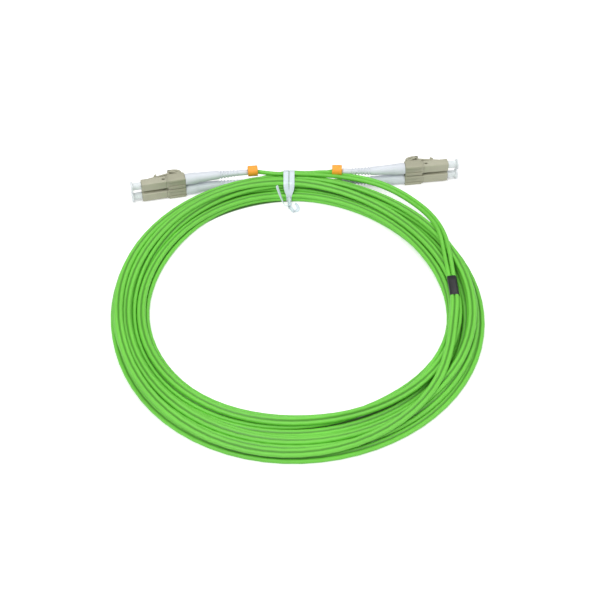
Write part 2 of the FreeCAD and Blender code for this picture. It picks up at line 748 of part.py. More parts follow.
def coil_point(turn):
    """A point of the cord's centre line, by turns from its lower end."""
    angle = START_ANGLE + 2 * math.pi * turn
    bottom = size["strand_diameter"] * 0.4
    height = bottom + SLEEVE_RISE * (1 - smooth(turn / CROSSING))
    rises = [size["first_layer_rise"], size["layer_rise"], size["layer_rise"]]
    for reversal, rise in zip(REVERSALS, rises):
        height += rise * smooth((turn - reversal) / CLIMB_TURNS + 0.5)
    height += CROSSING_RISE * smooth((turn - TURNS + CROSSING) / CROSSING + 1.0)
    height += size["tie_lift"] * max(0.0, math.cos(angle - TIE_ANGLE)) ** 2
    inner = round_the_coil(angle, size["coil_inner_at_tie"], size["coil_inner_at_sides"],
                           size["coil_inner_at_front"])
    spread = round_the_coil(angle, size["coil_spread_at_tie"], size["coil_spread_at_sides"],
                            size["coil_spread_at_front"])
    radius = inner + size["cord_width"] / 2 + spread * spread_share(turn)
    return Vector(radius * math.cos(angle), radius * math.sin(angle), height)


def coil_direction(turn):
    step = 0.001
    before = coil_point(max(turn - step, 0))
    after = coil_point(min(turn + step, TURNS))
    return (after - before).normalize()


def coil_wire():
    """Quarter-turn biarcs from node to node, with a straight end at each sleeve."""
    nodes = [0.0]
    quarter = 0.25
    while nodes[-1] + quarter < TURNS - LAST_NODES[0] - 0.1:
        nodes.append(nodes[-1] + quarter)
    nodes += [TURNS - before_end for before_end in LAST_NODES]
    nodes.append(TURNS)
    edges = []
    for a, b in zip(nodes, nodes[1:]):
        edges += biarc(coil_point(a), coil_direction(a), coil_point(b), coil_direction(b))
    half_sleeve = size["sleeve_length"] / 2
    first = coil_point(0) - coil_direction(0) * half_sleeve
    last = coil_point(TURNS) + coil_direction(TURNS) * half_sleeve
    edges.insert(0, Part.LineSegment(first, coil_point(0)).toShape())
    edges.append(Part.LineSegment(coil_point(TURNS), last).toShape())
    return Part.Wire(edges), first, last


def cord_coil():
    """The whole duplex cord between its two splits, cut flat where it stands."""
    wire, first, last = coil_wire()
    outline = [(a * size["cord_width"], b * size["strand_diameter"]) for a, b in CORD_OUTLINE]
    along = coil_direction(0)
    level = UP.cross(along).normalize()
    across = FreeCAD.Rotation(along, START_ROLL).multVec(level)
    section = strand_section(first, along, across, outline)
    cord = wire.makePipeShell([section], True, False)
    print(f"cord coil: {TURNS:.2f} turns, length {wire.Length:.0f} mm, "
          f"volume {cord.Volume:.0f}, section times length {Part.Face(section).Area * wire.Length:.0f}")
    reach = 2 * size["coil_inner_at_front"]
    floor = Part.makeBox(2 * reach, 2 * reach, 5, Vector(-reach, -reach, -5))
    piece = solid_piece("cord_coil", cord.cut(floor))
    return piece, wire, first, last


def end_across(solid, point):
    """The flat cord's sideways direction at one end, read from its end face."""
    face = min(solid.Faces, key=lambda f: (f.CenterOfMass - point).Length)
    low = sorted(face.Vertexes, key=lambda v: v.Z)[:2]
    return (low[1].Point - low[0].Point).normalize()


def corner_to_side(corner, a, b):
    """Distance from a point to a straight side."""
    side = b - a
    share = max(0.0, min(1.0, (corner - a).dot(side) / side.dot(side)))
    return (corner - a - side * share).Length


def least_gap(solid):
    """The least gap between turns, measured on points of cross sections round the coil."""
    least = 99.0
    for i in range(36):
        angle = math.pi * i / 36
        normal = Vector(-math.sin(angle), math.cos(angle), 0)
        outlines = [[v.Point for v in wire.OrderedVertexes] for wire in solid.slice(normal, 0)]
        middles = [sum(points, Vector()) * (1 / len(points)) for points in outlines]
        for n, one in enumerate(outlines):
            for m in range(n + 1, len(outlines)):
                if (middles[n] - middles[m]).Length > 2 * size["cord_width"]:
                    continue
                other = outlines[m]
                for points, sides in ((one, other), (other, one)):
                    for corner in points:
                        for a, b in zip(sides, sides[1:] + sides[:1]):
                            least = min(least, corner_to_side(corner, a, b))
    return least


def sleeve_outline(centre, along, across, width, height, shoulders):
    """A flat outline with sloped shoulders, square to the cord, given as shares of its half sizes."""
    upward = across.cross(along).normalize()
    if upward.z < 0:
        upward = upward * -1
    half = [(a * width / 2, b * height / 2) for a, b in shoulders]
    corners = [centre + across * (side * a) + upward * b for side, row in ((1, half), (-1, half[::-1]))
               for a, b in row]
    return Part.makePolygon(corners + [corners[0]])


def split_sleeve(name, middle, along, across):
    """Flat tube over the place where the two strands part, half on the cord and half on them."""
    length = size["sleeve_length"]
    width = size["cord_width"] + 2 * size["sleeve_play"]
    height = size["strand_diameter"] + 2 * size["sleeve_play"]
    wall = 2 * size["sleeve_wall"]
    start = middle - along * (length / 2)
    outer = sleeve_outline(start, along, across, width + wall, height + wall,
                           [(0.88, -1), (1, -0.79), (0.98, 0.35), (0.68, 1)])
    inner = sleeve_outline(start - along, along, across, width, height, [(1, -1), (0.98, 0.33), (0.7, 1)])
    tube = Part.Face(outer).extrude(along * length).cut(Part.Face(inner).extrude(along * (length + 2)))
    return solid_piece(name, tube)


def leg(name, place, turn, corners, split, into_cord):
    """One free strand: from the crimp through the boot, round its corners and into the sleeve."""
    start_at = size["spigot_length"] + size["seat_gap"]
    start, start_along = boot_axis(start_at, turn)
    socket, socket_along = boot_axis(size["boot_socket"], turn)
    tail, tail_along = boot_axis(boot_length(), turn)
    start, socket, tail = [place.multVec(p) for p in (start, socket, tail)]
    start_along, socket_along, tail_along = [place.Rotation.multVec(d)
                                             for d in (start_along, socket_along, tail_along)]
    edges = [Part.LineSegment(start, socket).toShape(), arc_between(socket, socket_along, tail)]
    straight = size["marker_length"] + 2 * size["seat_gap"]
    first_corner = tail + tail_along * (straight / 0.53)
    last_corner = split - into_cord * (size["sleeve_length"])
    route = [tail, first_corner] + corners + [last_corner, split]
    edges += rounded_route(route, name)
    path = Part.Wire(edges)
    across = place.Rotation.multVec(Vector(0, 1, 0))
    section = strand_section(start, start_along, across, polygon_outline(4, size["strand_diameter"] / 2))
    strand = path.makePipeShell([section], True, False)
    expected = Part.Face(section).Area * path.Length
    print(f"{name}: length {path.Length:.0f} mm, volume {strand.Volume:.0f}, "
          f"section times length {expected:.0f}")
    print("  route", " ".join(f"({p.x:.1f},{p.y:.1f},{p.z:.1f})" for p in route))
    return solid_piece(name, strand)


def beside(points, offset):
    """The same corners, moved sideways on the level: positive is outward on a left-hand turn."""
    moved = []
    for i, point in enumerate(points):
        before = points[max(i - 1, 0)]
        after = points[min(i + 1, len(points) - 1)]
        along = Vector(after.x - before.x, after.y - before.y, 0).normalize()
        moved.append(point + UP.cross(along) * offset)
    return moved


def rounded_rectangle(low, high, radii):
    """Closed outline in the YZ plane. Radii run from the low near corner anticlockwise."""
    corners = [(low[0], low[1], 1, 1), (high[0], low[1], -1, 1), (high[0], high[1], -1, -1),
               (low[0], high[1], 1, -1)]
    points = []
    for (y, z, sy, sz), r in zip(corners, radii):
        on_level = Vector(0, y + sy * r, z)
        on_upright = Vector(0, y, z + sz * r)
        bulge = Vector(0, y + sy * r * (1 - math.sqrt(0.5)), z + sz * r * (1 - math.sqrt(0.5)))
        ends = (on_upright, on_level) if sy * sz > 0 else (on_level, on_upright)
        points.append((ends[0], bulge, ends[1]))
    edges = []
    for i, (start, bulge, end) in enumerate(points):
        edges.append(Part.Arc(start, bulge, end).toShape())
        edges.append(Part.LineSegment(end, points[(i + 1) % 4][0]).toShape())
    return Part.Wire(edges)


def ribbon(points, width, thickness, name):
    """A thin flat strip along a rounded route."""
    path = Part.Wire(rounded_route(points, name))
    along = (points[1] - points[0]).normalize()
    across = Vector(1, 0, 0)
    across = (across - along * across.dot(along)).normalize()
    half = (width / 2, thickness / 2)
    outline = [(-half[0], -half[1]), (half[0], -half[1]), half, (-half[0], half[1])]
    section = strand_section(points[0], along, across, outline)
    return path.makePipeShell([section], True, False)


def twist_tie():
    """Flat tie round the bundle and the free strands, twisted together on the inner side."""
    thick = size["tie_thickness"]
    low = (TIE_INNER, thick + 0.02)
    high = (TIE_OUTER, TIE_TOP)
    inner = rounded_rectangle(low, high, (0.6, 1.0, 2.0, 1.0))
    outer = rounded_rectangle((low[0] - thick, low[1] - thick), (high[0] + thick, high[1] + thick),
                              (0.6 + thick, 1.0 + thick, 2.0 + thick, 1.0 + thick))
    wide = Vector(size["tie_band_width"], 0, 0)
    band = Part.Face(outer).extrude(wide).cut(Part.Face(inner).extrude(wide))
    band.translate(Vector(TIE_X - size["tie_band_width"] / 2, 0, 0))

    root = Vector(TIE_X, TIE_INNER - thick / 2, 1.5)
    rings = []
    count = 9
    for i in range(count):
        angle = math.radians(-60 + 75 * i)
        along = Vector(math.cos(angle), 0, math.sin(angle))
        side = Vector(-math.sin(angle), 0, math.cos(angle))
        middle = root + Vector(0, -0.75 * i, -0.03 * i)
        rings.append([middle + along * a + side * b
                      for a, b in ((-0.95, -0.45), (0.95, -0.45), (0.95, 0.45), (-0.95, 0.45))])
    twist = faceted_solid(rings)

    width = size["tie_tail_width"]
    raised = ribbon([root + Vector(-0.2, -3.2, 0.2), root + Vector(-2.2, -2.6, 3.4),
                     root + Vector(-5.2, -1.9, 8.0), root + Vector(-6.6, -1.5, 12.2)], width, thick, "raised tail")
    curl = ribbon([root + Vector(0.1, -4.6, 0.1), root + Vector(3.0, -4.9, 1.5),
                   root + Vector(4.6, -2.6, 1.9), root + Vector(3.2, -1.3, 3.9)], width, thick, "curled tail")
    return solid_piece("twist_tie", band.fuse([twist, raised, curl]))


# Corners of the free strands. The left pair of strands runs behind the bundle, climbs over it past the
# tie and hangs loose on the far right before it lies on the coil at the upper sleeve. The right pair
# runs under the bundle in the bottom layer's free outer lane to the lower sleeve.

TIE_X = -4.4
OVER_TOP = [(-4.4, 83.4, 10.3), (5.0, 81.6, 13.0), (14.0, 78.8, 13.3)]
OVER_TOP_OUTSIDE = [(-5.5, 83.9, 6.0), (4.0, 84.2, 10.4), (13.5, 80.9, 13.3)]
LOOSE_LOOP = [Vector(24.0, 78.0, 12.9), Vector(38.0, 77.0, 9.6), Vector(52.0, 69.0, 8.0),
              Vector(62.0, 57.5, 10.0), Vector(67.5, 43.0, 12.7), Vector(69.9, 29.0, 12.9)]
CLIMB_OUTSIDE = [(4.0, 83.6, 4.6)]
OUT_LOW = [(5.0, 82.9, 1.5)]
LANE = (COIL_OUTER_AT_TIE - size["cord_width"] / 2 - 0.15) * 1.008
BOTTOM_LANE = [Vector(LANE * math.cos(math.radians(a)), LANE * math.sin(math.radians(a)),
                      1.05 + 0.5 * max(0.0, math.cos(math.radians(a - 93))) ** 2)
               for a in (159, 145, 131, 117, 105, 95)]

# Build both ends

pairs = {"left": (pair_placement(LEFT_REAR, LEFT_YAW), LEFT_BOOT_TURN),
         "right": (pair_placement(RIGHT_REAR, RIGHT_YAW), RIGHT_BOOT_TURN)}
levels = {"upper": 1, "lower": -1}

for side, (pair, turn) in pairs.items():
    for level, sign in levels.items():
        name = f"{side}_{level}"
        place = plug_placement(pair, sign)
        front_housing(name + "_front_housing", place)
        latch_lever(name + "_latch_lever", place)
        ferrule(name + "_ferrule", place)
        ferrule_holder(name + "_ferrule_holder", place)
        ferrule_spring(name + "_ferrule_spring", place)
        rear_body(name + "_rear_body", place)
        crimp_sleeve(name + "_crimp_sleeve", place)
        fibre(name + "_fibre", place)
        boot(name + "_boot", place, turn)
        dust_cap(name + "_dust_cap", place)
    duplex_clip(side + "_duplex_clip", pair)
    clip_trigger(side + "_clip_trigger", pair)
    marker_ring(side + "_marker_ring", plug_placement(pair, 1), turn)

coil, coil_path, lower_end, upper_end = cord_coil()
gap = least_gap(coil.Shape)
print(f"least gap between turns {gap:.2f} mm")

lower_along = coil_direction(0)
upper_along = coil_direction(TURNS)
lower_across = end_across(coil.Shape, lower_end)
upper_across = end_across(coil.Shape, upper_end)
print("ends across", lower_across, upper_across)
split_sleeve("lower_split_sleeve", lower_end, lower_along, lower_across)
split_sleeve("upper_split_sleeve", upper_end, upper_along, upper_across)

left_pair, left_turn = pairs["left"]
right_pair, right_turn = pairs["right"]
half_pitch = size["cord_width"] / 4


def outer_side(across, point):
    """The sideways direction that points away from the coil's middle."""
    return across if across.dot(Vector(point.x, point.y, 0)) > 0 else across * -1


upper_out = outer_side(upper_across, upper_end)
lower_out = outer_side(lower_across, lower_end)
leg("left_upper_leg", plug_placement(left_pair, 1), left_turn,
    [Vector(*p) for p in OVER_TOP] + beside(LOOSE_LOOP, -half_pitch - 0.11),
    upper_end - upper_out * half_pitch, upper_along * -1)
leg("left_lower_leg", plug_placement(left_pair, -1), left_turn,
    [Vector(*p) for p in OVER_TOP_OUTSIDE] + beside(LOOSE_LOOP, half_pitch + 0.11),
    upper_end + upper_out * half_pitch, upper_along * -1)
leg("right_upper_leg", plug_placement(right_pair, 1), right_turn,
    [Vector(*p) for p in CLIMB_OUTSIDE] + beside(BOTTOM_LANE, half_pitch + 0.05)[::-1],
    lower_end + lower_out * half_pitch, lower_along)
leg("right_lower_leg", plug_placement(right_pair, -1), right_turn,
    [Vector(*p) for p in OUT_LOW] + beside(BOTTOM_LANE, -half_pitch - 0.05)[::-1],
    lower_end - lower_out * half_pitch, lower_along)
twist_tie()

# Put the middle of the box over the origin

ORIGIN = Vector(0.5, -0.4, 0)
for obj in parts:
    obj.Placement.Base = obj.Placement.Base - ORIGIN
box = FreeCAD.BoundBox()
for obj in parts:
    for point in obj.Shape.tessellate(0.3)[0]:
        box.add(point)
print(f"middle of the box {box.Center.x:.2f} {box.Center.y:.2f}, box {box.XLength:.1f} x {box.YLength:.1f} x "
      f"{box.ZLength:.1f}, lowest {box.ZMin:.3f}")

# Check and write

doc.recompute()
for obj in doc.Objects:
    if "Invalid" in obj.State or "Error" in obj.State:
        raise RuntimeError(f"{obj.Label} failed: {obj.State}")
for obj in parts:
    if obj.Shape.isNull() or not obj.Shape.isValid():
        raise RuntimeError(f"{obj.Label} has no valid shape")

os.makedirs("parts", exist_ok=True)
for obj in parts:
    obj.Shape.exportStep(f"parts/{obj.Label}.step")
print(len(parts), "pieces written")
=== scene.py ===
# %% [markdown]
# # A duplex fibre patch cord, tied in a flat coil
#
# The real thing is about five metres of twin cord. Each end splits into two thin strands, and each
# strand ends in a small latched plug. Here the measured solids are loaded as a fixed frame, and this
# file dresses them: it lays the cord, moulds the boots and gives every part its plastic or metal.

# %% Load the measured frame
import json
import math

import bmesh
import bpy
import numpy as np
from mathutils import Matrix, Vector

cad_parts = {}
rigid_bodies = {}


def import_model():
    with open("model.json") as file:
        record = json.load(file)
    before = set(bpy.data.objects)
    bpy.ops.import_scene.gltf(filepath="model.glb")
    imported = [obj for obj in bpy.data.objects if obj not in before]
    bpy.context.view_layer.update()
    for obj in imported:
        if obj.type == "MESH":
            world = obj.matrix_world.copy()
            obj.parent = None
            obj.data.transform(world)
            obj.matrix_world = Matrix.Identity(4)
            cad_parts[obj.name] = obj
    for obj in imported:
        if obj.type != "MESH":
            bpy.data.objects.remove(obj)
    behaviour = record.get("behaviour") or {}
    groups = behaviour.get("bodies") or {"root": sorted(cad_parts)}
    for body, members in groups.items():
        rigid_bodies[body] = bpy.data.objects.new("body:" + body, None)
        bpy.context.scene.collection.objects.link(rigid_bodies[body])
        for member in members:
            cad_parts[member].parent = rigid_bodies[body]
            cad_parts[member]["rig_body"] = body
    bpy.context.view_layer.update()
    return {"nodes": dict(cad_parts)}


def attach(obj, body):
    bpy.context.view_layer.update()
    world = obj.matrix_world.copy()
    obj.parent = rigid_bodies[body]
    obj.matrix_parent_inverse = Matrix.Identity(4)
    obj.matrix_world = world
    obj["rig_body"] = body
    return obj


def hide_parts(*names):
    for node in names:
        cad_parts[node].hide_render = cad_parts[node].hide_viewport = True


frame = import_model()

# %% [markdown]
# Sizes are thought of in millimetres, as on the maker's drawing, and turned into metres at the last
# moment. The drawing's zero is the middle of the coil. The frame's zero is the middle of the whole
# box, so one small shift is taken off every point.

# %% Millimetres to metres
MM = 0.001
ZERO_SHIFT = Vector((0.5, -0.4, 0.0))


def at(x, y, z):
    """A point of the drawing, in metres in the frame."""
    return (Vector((x, y, z)) - ZERO_SHIFT) * MM


def ease(x):
    """A smooth step from 0 to 1."""
    x = np.clip(x, 0.0, 1.0)
    return x * x * (3 - 2 * x)


# %% [markdown]
# ## Camera, floor and light
#
# The picture was taken from in front and above, at about 46 degrees, with a long lens. The floor is
# plain white. It could be lit until it burns out, but that would wash the cord as well, so the floor
# adds a little light of its own and keeps the shadow. Only the camera sees that light, directly, in
# reflections and through the milky caps.

# %% Camera
ELEVATION = math.radians(46)
DISTANCE = 640
PIXELS_PER_MM = 2.2
IMAGE_WIDTH = 600
SENSOR_WIDTH = 36
SHIFT_RIGHT, SHIFT_UP = 2, 5

camera_data = bpy.data.cameras.new("camera")
camera_data.sensor_width = SENSOR_WIDTH
camera_data.lens = SENSOR_WIDTH * PIXELS_PER_MM * DISTANCE / IMAGE_WIDTH
camera_data.shift_x = SHIFT_RIGHT / IMAGE_WIDTH
camera_data.shift_y = SHIFT_UP / IMAGE_WIDTH
camera_data.clip_start = 0.01
camera = bpy.data.objects.new("camera", camera_data)
bpy.context.scene.collection.objects.link(camera)
camera.location = at(0, -DISTANCE * math.cos(ELEVATION), DISTANCE * math.sin(ELEVATION))
camera.rotation_euler = (math.pi / 2 - ELEVATION, 0, 0)
bpy.context.scene.camera = camera
bpy.context.scene.view_settings.view_transform = "Standard"
print(f"camera lens {camera_data.lens:.1f} mm")


# %% Small helpers for materials
def linear(red, green, blue):
    """A colour as a screen shows it, 0 to 255, turned into the light values Blender works in."""
    values = [c / 255 for c in (red, green, blue)]
    return [v / 12.92 if v <= 0.04045 else ((v + 0.055) / 1.055) ** 2.4 for v in values] + [1.0]


def new_material(name):
    """A material with only its Principled shader and its output."""
    material = bpy.data.materials.new(name)
    material.use_nodes = True
    return material, material.node_tree, material.node_tree.nodes["Principled BSDF"]


def set_inputs(tree, node, inputs):
    """Give a node's inputs their values, or the outputs that feed them."""
    for socket, value in inputs.items():
        if isinstance(value, bpy.types.NodeSocket):
            tree.links.new(value, node.inputs[socket])
        else:
            node.inputs[socket].default_value = value


def add_node(tree, kind, inputs=None, **settings):
    """Put a node in a tree: first its settings, then its inputs."""
    node = tree.nodes.new(kind)
    for name, value in settings.items():
        setattr(node, name, value)
    set_inputs(tree, node, inputs or {})
    return node


def math_node(tree, operation, *values):
    """The output of a Math node whose inputs are given in order."""
    return add_node(tree, "ShaderNodeMath", dict(enumerate(values)), operation=operation).outputs[0]


# %% Floor
FLOOR_HALF = 3.0
FLOOR_DROP = 0.00002
FLOOR_PAINT = (0.86, 0.86, 0.86, 1)
FLOOR_GLOW_COLOR = (1, 1, 1, 1)
FLOOR_GLOW = 0.34
# The ring under the coil is painted shade: there the floor is dark green and glows little.
UNDER_COIL_MIDDLE, UNDER_COIL_HALF, UNDER_COIL_SOFT = 0.0762, 0.0052, 0.001
UNDER_COIL_SHADE_GREEN = (0.05, 0.12, 0.03, 1)

floor_mesh = bpy.data.meshes.new("floor")
corners = [(x * FLOOR_HALF, y * FLOOR_HALF, 0) for x, y in ((-1, -1), (1, -1), (1, 1), (-1, 1))]
floor_mesh.from_pydata(corners, [], [(0, 1, 2, 3)])
floor = bpy.data.objects.new("floor", floor_mesh)
floor.location.z = -FLOOR_DROP
bpy.context.scene.collection.objects.link(floor)
floor_paint, tree, paint = new_material("white sweep")
ray = add_node(tree, "ShaderNodeLightPath").outputs
seen = math_node(tree, "MAXIMUM", ray["Is Camera Ray"], ray["Is Glossy Ray"])
seen = math_node(tree, "MAXIMUM", seen, ray["Is Transmission Ray"])
set_inputs(tree, paint, {"Roughness": 0.9, "Specular IOR Level": 0.1,
                         "Emission Strength": math_node(tree, "MULTIPLY", seen, FLOOR_GLOW)})

# Painted shade: a ring of floor under the bundle is dark green, like shade with green light between the
# strands, and hardly glows. Light thrown back through the bundle's narrow gaps would otherwise look like
# slits.
place = add_node(tree, "ShaderNodeTexCoord").outputs["Object"]
centred = add_node(tree, "ShaderNodeVectorMath", {0: place, 1: ZERO_SHIFT * MM}, operation="ADD")
reach = add_node(tree, "ShaderNodeVectorMath", {0: centred.outputs[0]}, operation="LENGTH")
off_middle = math_node(tree, "SUBTRACT", reach.outputs["Value"], UNDER_COIL_MIDDLE)
beside_shade_ring = add_node(tree, "ShaderNodeMapRange",
                       {"Value": math_node(tree, "ABSOLUTE", off_middle), "From Min": UNDER_COIL_HALF,
                        "From Max": UNDER_COIL_HALF + UNDER_COIL_SOFT}, interpolation_type="SMOOTHSTEP")
for channel, color in (("Emission Color", FLOOR_GLOW_COLOR), ("Base Color", FLOOR_PAINT)):
    tint = add_node(tree, "ShaderNodeMix", {"A": UNDER_COIL_SHADE_GREEN, "B": color,
                                            "Factor": beside_shade_ring.outputs["Result"]}, data_type="RGBA")
    tree.links.new(tint.outputs["Result"], paint.inputs[channel])
floor_mesh.materials.append(floor_paint)

# %% Background
ROOM_LIGHT = 0.36

world = bpy.data.worlds.new("white room")
bpy.context.scene.world = world
world.use_nodes = True
back = world.node_tree.nodes["Background"]
back.inputs["Color"].default_value = (1, 1, 1, 1)
room_ray = add_node(world.node_tree, "ShaderNodeLightPath")
room = add_node(world.node_tree, "ShaderNodeMapRange",
                {"Value": room_ray.outputs["Is Camera Ray"], "To Min": ROOM_LIGHT, "To Max": 1.0})
world.node_tree.links.new(room.outputs["Result"], back.inputs["Strength"])


# %% Lamps
def soft_lamp(name, place, size, power):
    """A round lamp that shines at the middle of the coil."""
    lamp_data = bpy.data.lights.new(name, "AREA")
    lamp_data.shape = "DISK"
    lamp_data.size = size
    lamp_data.energy = power
    lamp = bpy.data.objects.new(name, lamp_data)
    lamp.location = place
    lamp.rotation_mode = "QUATERNION"
    lamp.rotation_quaternion = (-Vector(place)).to_track_quat("-Z", "Y")
    bpy.context.scene.collection.objects.link(lamp)
    return lamp


soft_lamp("key lamp", (-0.35, -0.45, 0.85), 0.7, 6.2)
soft_lamp("fill lamp", (0.6, -0.2, 0.7), 0.8, 2.7)
soft_lamp("top lamp", (0.0, 0.45, 0.9), 0.8, 2.5)

# %% [markdown]
# ## The coil
#
# A duplex cord is two round jackets joined along one line. Wound on a reel it forms neat layers, and
# that is the rule the drawing uses. Off the reel, tied in one place and laid on a table, the turns
# sink into each other, tilt, and fan out where nothing holds them. That could be drawn by eye, but
# nine and a half turns that never cut through each other are hard to draw. So the turns start on the
# reel's rule and then settle: each round is a row of circles on a section of the bundle, which sink,
# push apart and stay in pairs.

# %% Where the turns start
TURNS = 9 + 175 / 360
START_ANGLE = 183.0
TIE_ANGLE = 93.0
FIRST_LAYER_TURNS = 2.0
CROSSING = 0.2
LAST_CROSSING = 0.24
LAYER_TURNS = (TURNS - CROSSING - FIRST_LAYER_TURNS) / 3
REVERSALS = [FIRST_LAYER_TURNS + LAYER_TURNS * i for i in range(3)]
PAIR_PITCH = 2.05
STRAND_RADIUS = 1.0
LOWEST = 1.07
STATIONS_PER_TURN = 48
INNER_RADII, SPREADS = (66.4, 67.5, 72.5), (11.3, 12.3, 17.0)
FIRST_SHARE, LAST_TURN_IN = 0.86, 0.85
REEL_HEIGHT, START_LIFT, LAST_RISE, TIE_RISE = 0.8, 0.65, 2.7, 0.9
LAYER_RISES, RISE_TURNS = (3.15, 2.78, 2.78), 0.4


def round_the_coil(angle, at_tie, at_sides, at_front):
    """A size that changes round the coil from the tie to the sides and the front."""
    ends = (at_tie + at_front) / 2
    return ((ends + at_sides) / 2 - (at_front - at_tie) / 2 * np.sin(angle)
            - (ends - at_sides) / 2 * np.cos(2 * angle))


def layer_share(turn):
    """How far out in the bundle a turn lies, from 0 at the hole to 1 outside."""
    along = (turn - FIRST_LAYER_TURNS) / LAYER_TURNS
    last = 1 - LAST_TURN_IN * ease((turn - TURNS + LAST_CROSSING) / LAST_CROSSING)
    share = np.minimum(along - 2, last)
    share = np.where(along < 2, 2 - along, share)
    share = np.where(along < 1, along, share)
    return np.where(turn < FIRST_LAYER_TURNS, FIRST_SHARE * (1 - turn / FIRST_LAYER_TURNS), share)


def reel_rule(turn):
    """Radius and height of the cord's middle on the reel."""
    angle = np.radians(START_ANGLE + 360 * turn)
    height = REEL_HEIGHT + START_LIFT * (1 - ease(turn / CROSSING))
    for reversal, rise in zip(REVERSALS, LAYER_RISES):
        height = height + rise * ease((turn - reversal) / RISE_TURNS + 0.5)
    height = height + LAST_RISE * ease((turn - TURNS + LAST_CROSSING) / LAST_CROSSING + 0.6)
    height = height + TIE_RISE * np.maximum(0, np.cos(angle - math.radians(TIE_ANGLE))) ** 2
    inner = round_the_coil(angle, *INNER_RADII)
    spread = round_the_coil(angle, *SPREADS)
    return inner + PAIR_PITCH + spread * layer_share(turn), height


# %% The room the bundle has at each angle
SIDE_ANGLES = [93, 107, 117, 128, 140, 160, 183, 205, 228, 250, 273, 295, 318, 340, 358, 380, 408, 430,
               453]
INNER_SIDE = [69.8, 71.2, 71.2, 70.2, 68.0, 65.8, 67.2, 67.6, 68.0, 66.4, 62.6, 64.2, 67.6, 68.0, 67.0,
              62.4, 62.4, 68.0, 69.6]
OUTER_SIDE = [84.4, 83.9, 85.0, 87.0, 88.0, 87.2, 84.9, 86.6, 92.6, 95.0, 94.0, 92.0, 89.0, 86.6, 84.6,
              84.4, 83.8, 83.6, 84.4]


def side_table(angle, values):
    """A smooth closed curve through the values listed round the coil."""
    angle = (angle - TIE_ANGLE) % 360 + TIE_ANGLE
    x, v = np.array(SIDE_ANGLES, float), np.array(values, float)
    slope = np.zeros_like(v)
    slope[1:-1] = (v[2:] - v[:-2]) / (x[2:] - x[:-2])
    slope[0] = slope[-1] = (v[1] - v[-2]) / (x[1] - x[0] + x[-1] - x[-2])
    i = np.clip(np.searchsorted(x, angle, side="right") - 1, 0, len(x) - 2)
    step = x[i + 1] - x[i]
    t = (angle - x[i]) / step
    return ((2 * t ** 3 - 3 * t ** 2 + 1) * v[i] + (t ** 3 - 2 * t ** 2 + t) * step * slope[i]
            + (3 * t ** 2 - 2 * t ** 3) * v[i + 1] + (t ** 3 - t ** 2) * step * slope[i + 1])


UNDER_LANES = (78.5, 80.6)
UNDER_FROM, UNDER_TO = 79, 182
LEAVING_FROM, LEAVING_DEGREES, LEAVING_OUT, LEAVING_UP = 2, 14, (4.9, 3.4), (0.9, 6)
JOINING_FROM, JOINING_DEGREES, JOINING_OUT = 130, 45, 1.4


def strands_beside(angle):
    """Where the right-hand end's two strands pass under the bundle, as radius and height."""
    angle = (angle - TIE_ANGLE) % 360 + TIE_ANGLE
    places = np.full((2, len(angle), 2), np.nan)
    before_tie = np.where(angle > 270, angle - 360, angle)
    leaving = ease((TIE_ANGLE + LEAVING_FROM - before_tie) / LEAVING_DEGREES)
    under = (before_tie >= UNDER_FROM) & (before_tie <= UNDER_TO)
    joining = JOINING_OUT * ease((before_tie - JOINING_FROM) / JOINING_DEGREES)
    for lane, way_up in enumerate((leaving, leaving ** 2)):
        lane_places = np.stack([UNDER_LANES[lane] + joining + LEAVING_OUT[lane] * leaving,
                                LOWEST + LEAVING_UP[lane] * way_up], 1)
        places[lane][under] = lane_places[under]
    return places


# %% Let the turns settle
LEAST_PITCH = 2.03
ROUNDS, LAST_ROUNDS = 700, 60
SLEEVE_RADIUS = 70.6
END_PULL = np.array([0.02, 0.1, 1.0])
WANDER = ((1.18, 0.43, 4.61), (1.25, 0.71, 0.16))
TILT_DEGREES = ((8, 0.37, 1), (6, 0.61, 0))
START_ABOVE, START_HOLD = 0.25, 0.5
SMOOTHING, LAST_SMOOTHING = (0.25, 0.3, 3), (0.06, 0.1, 5)
SHARED_TOUCH = 0.6
TIE_REACH, TIE_SQUEEZE_IN, TIE_SQUEEZE_OUT = 7.0, 0.5, 0.9
OPEN_TOP, TIE_PRESS = 30, 20.3
PULL_ANGLE, PULL_REACH, OUTWARD_PULL = 106.0, 20.0, 0.06
SINK, LANE_PULL, LEVELLING = 0.02, 0.03, 0.01
WALL_PUSH = 0.04


def slow_waves(angle, waves):
    """Waves out of step with the turns. Each has a height, a pace and a phase."""
    return sum(height * np.sin(np.radians(angle) * pace + phase) for height, pace, phase in waves)


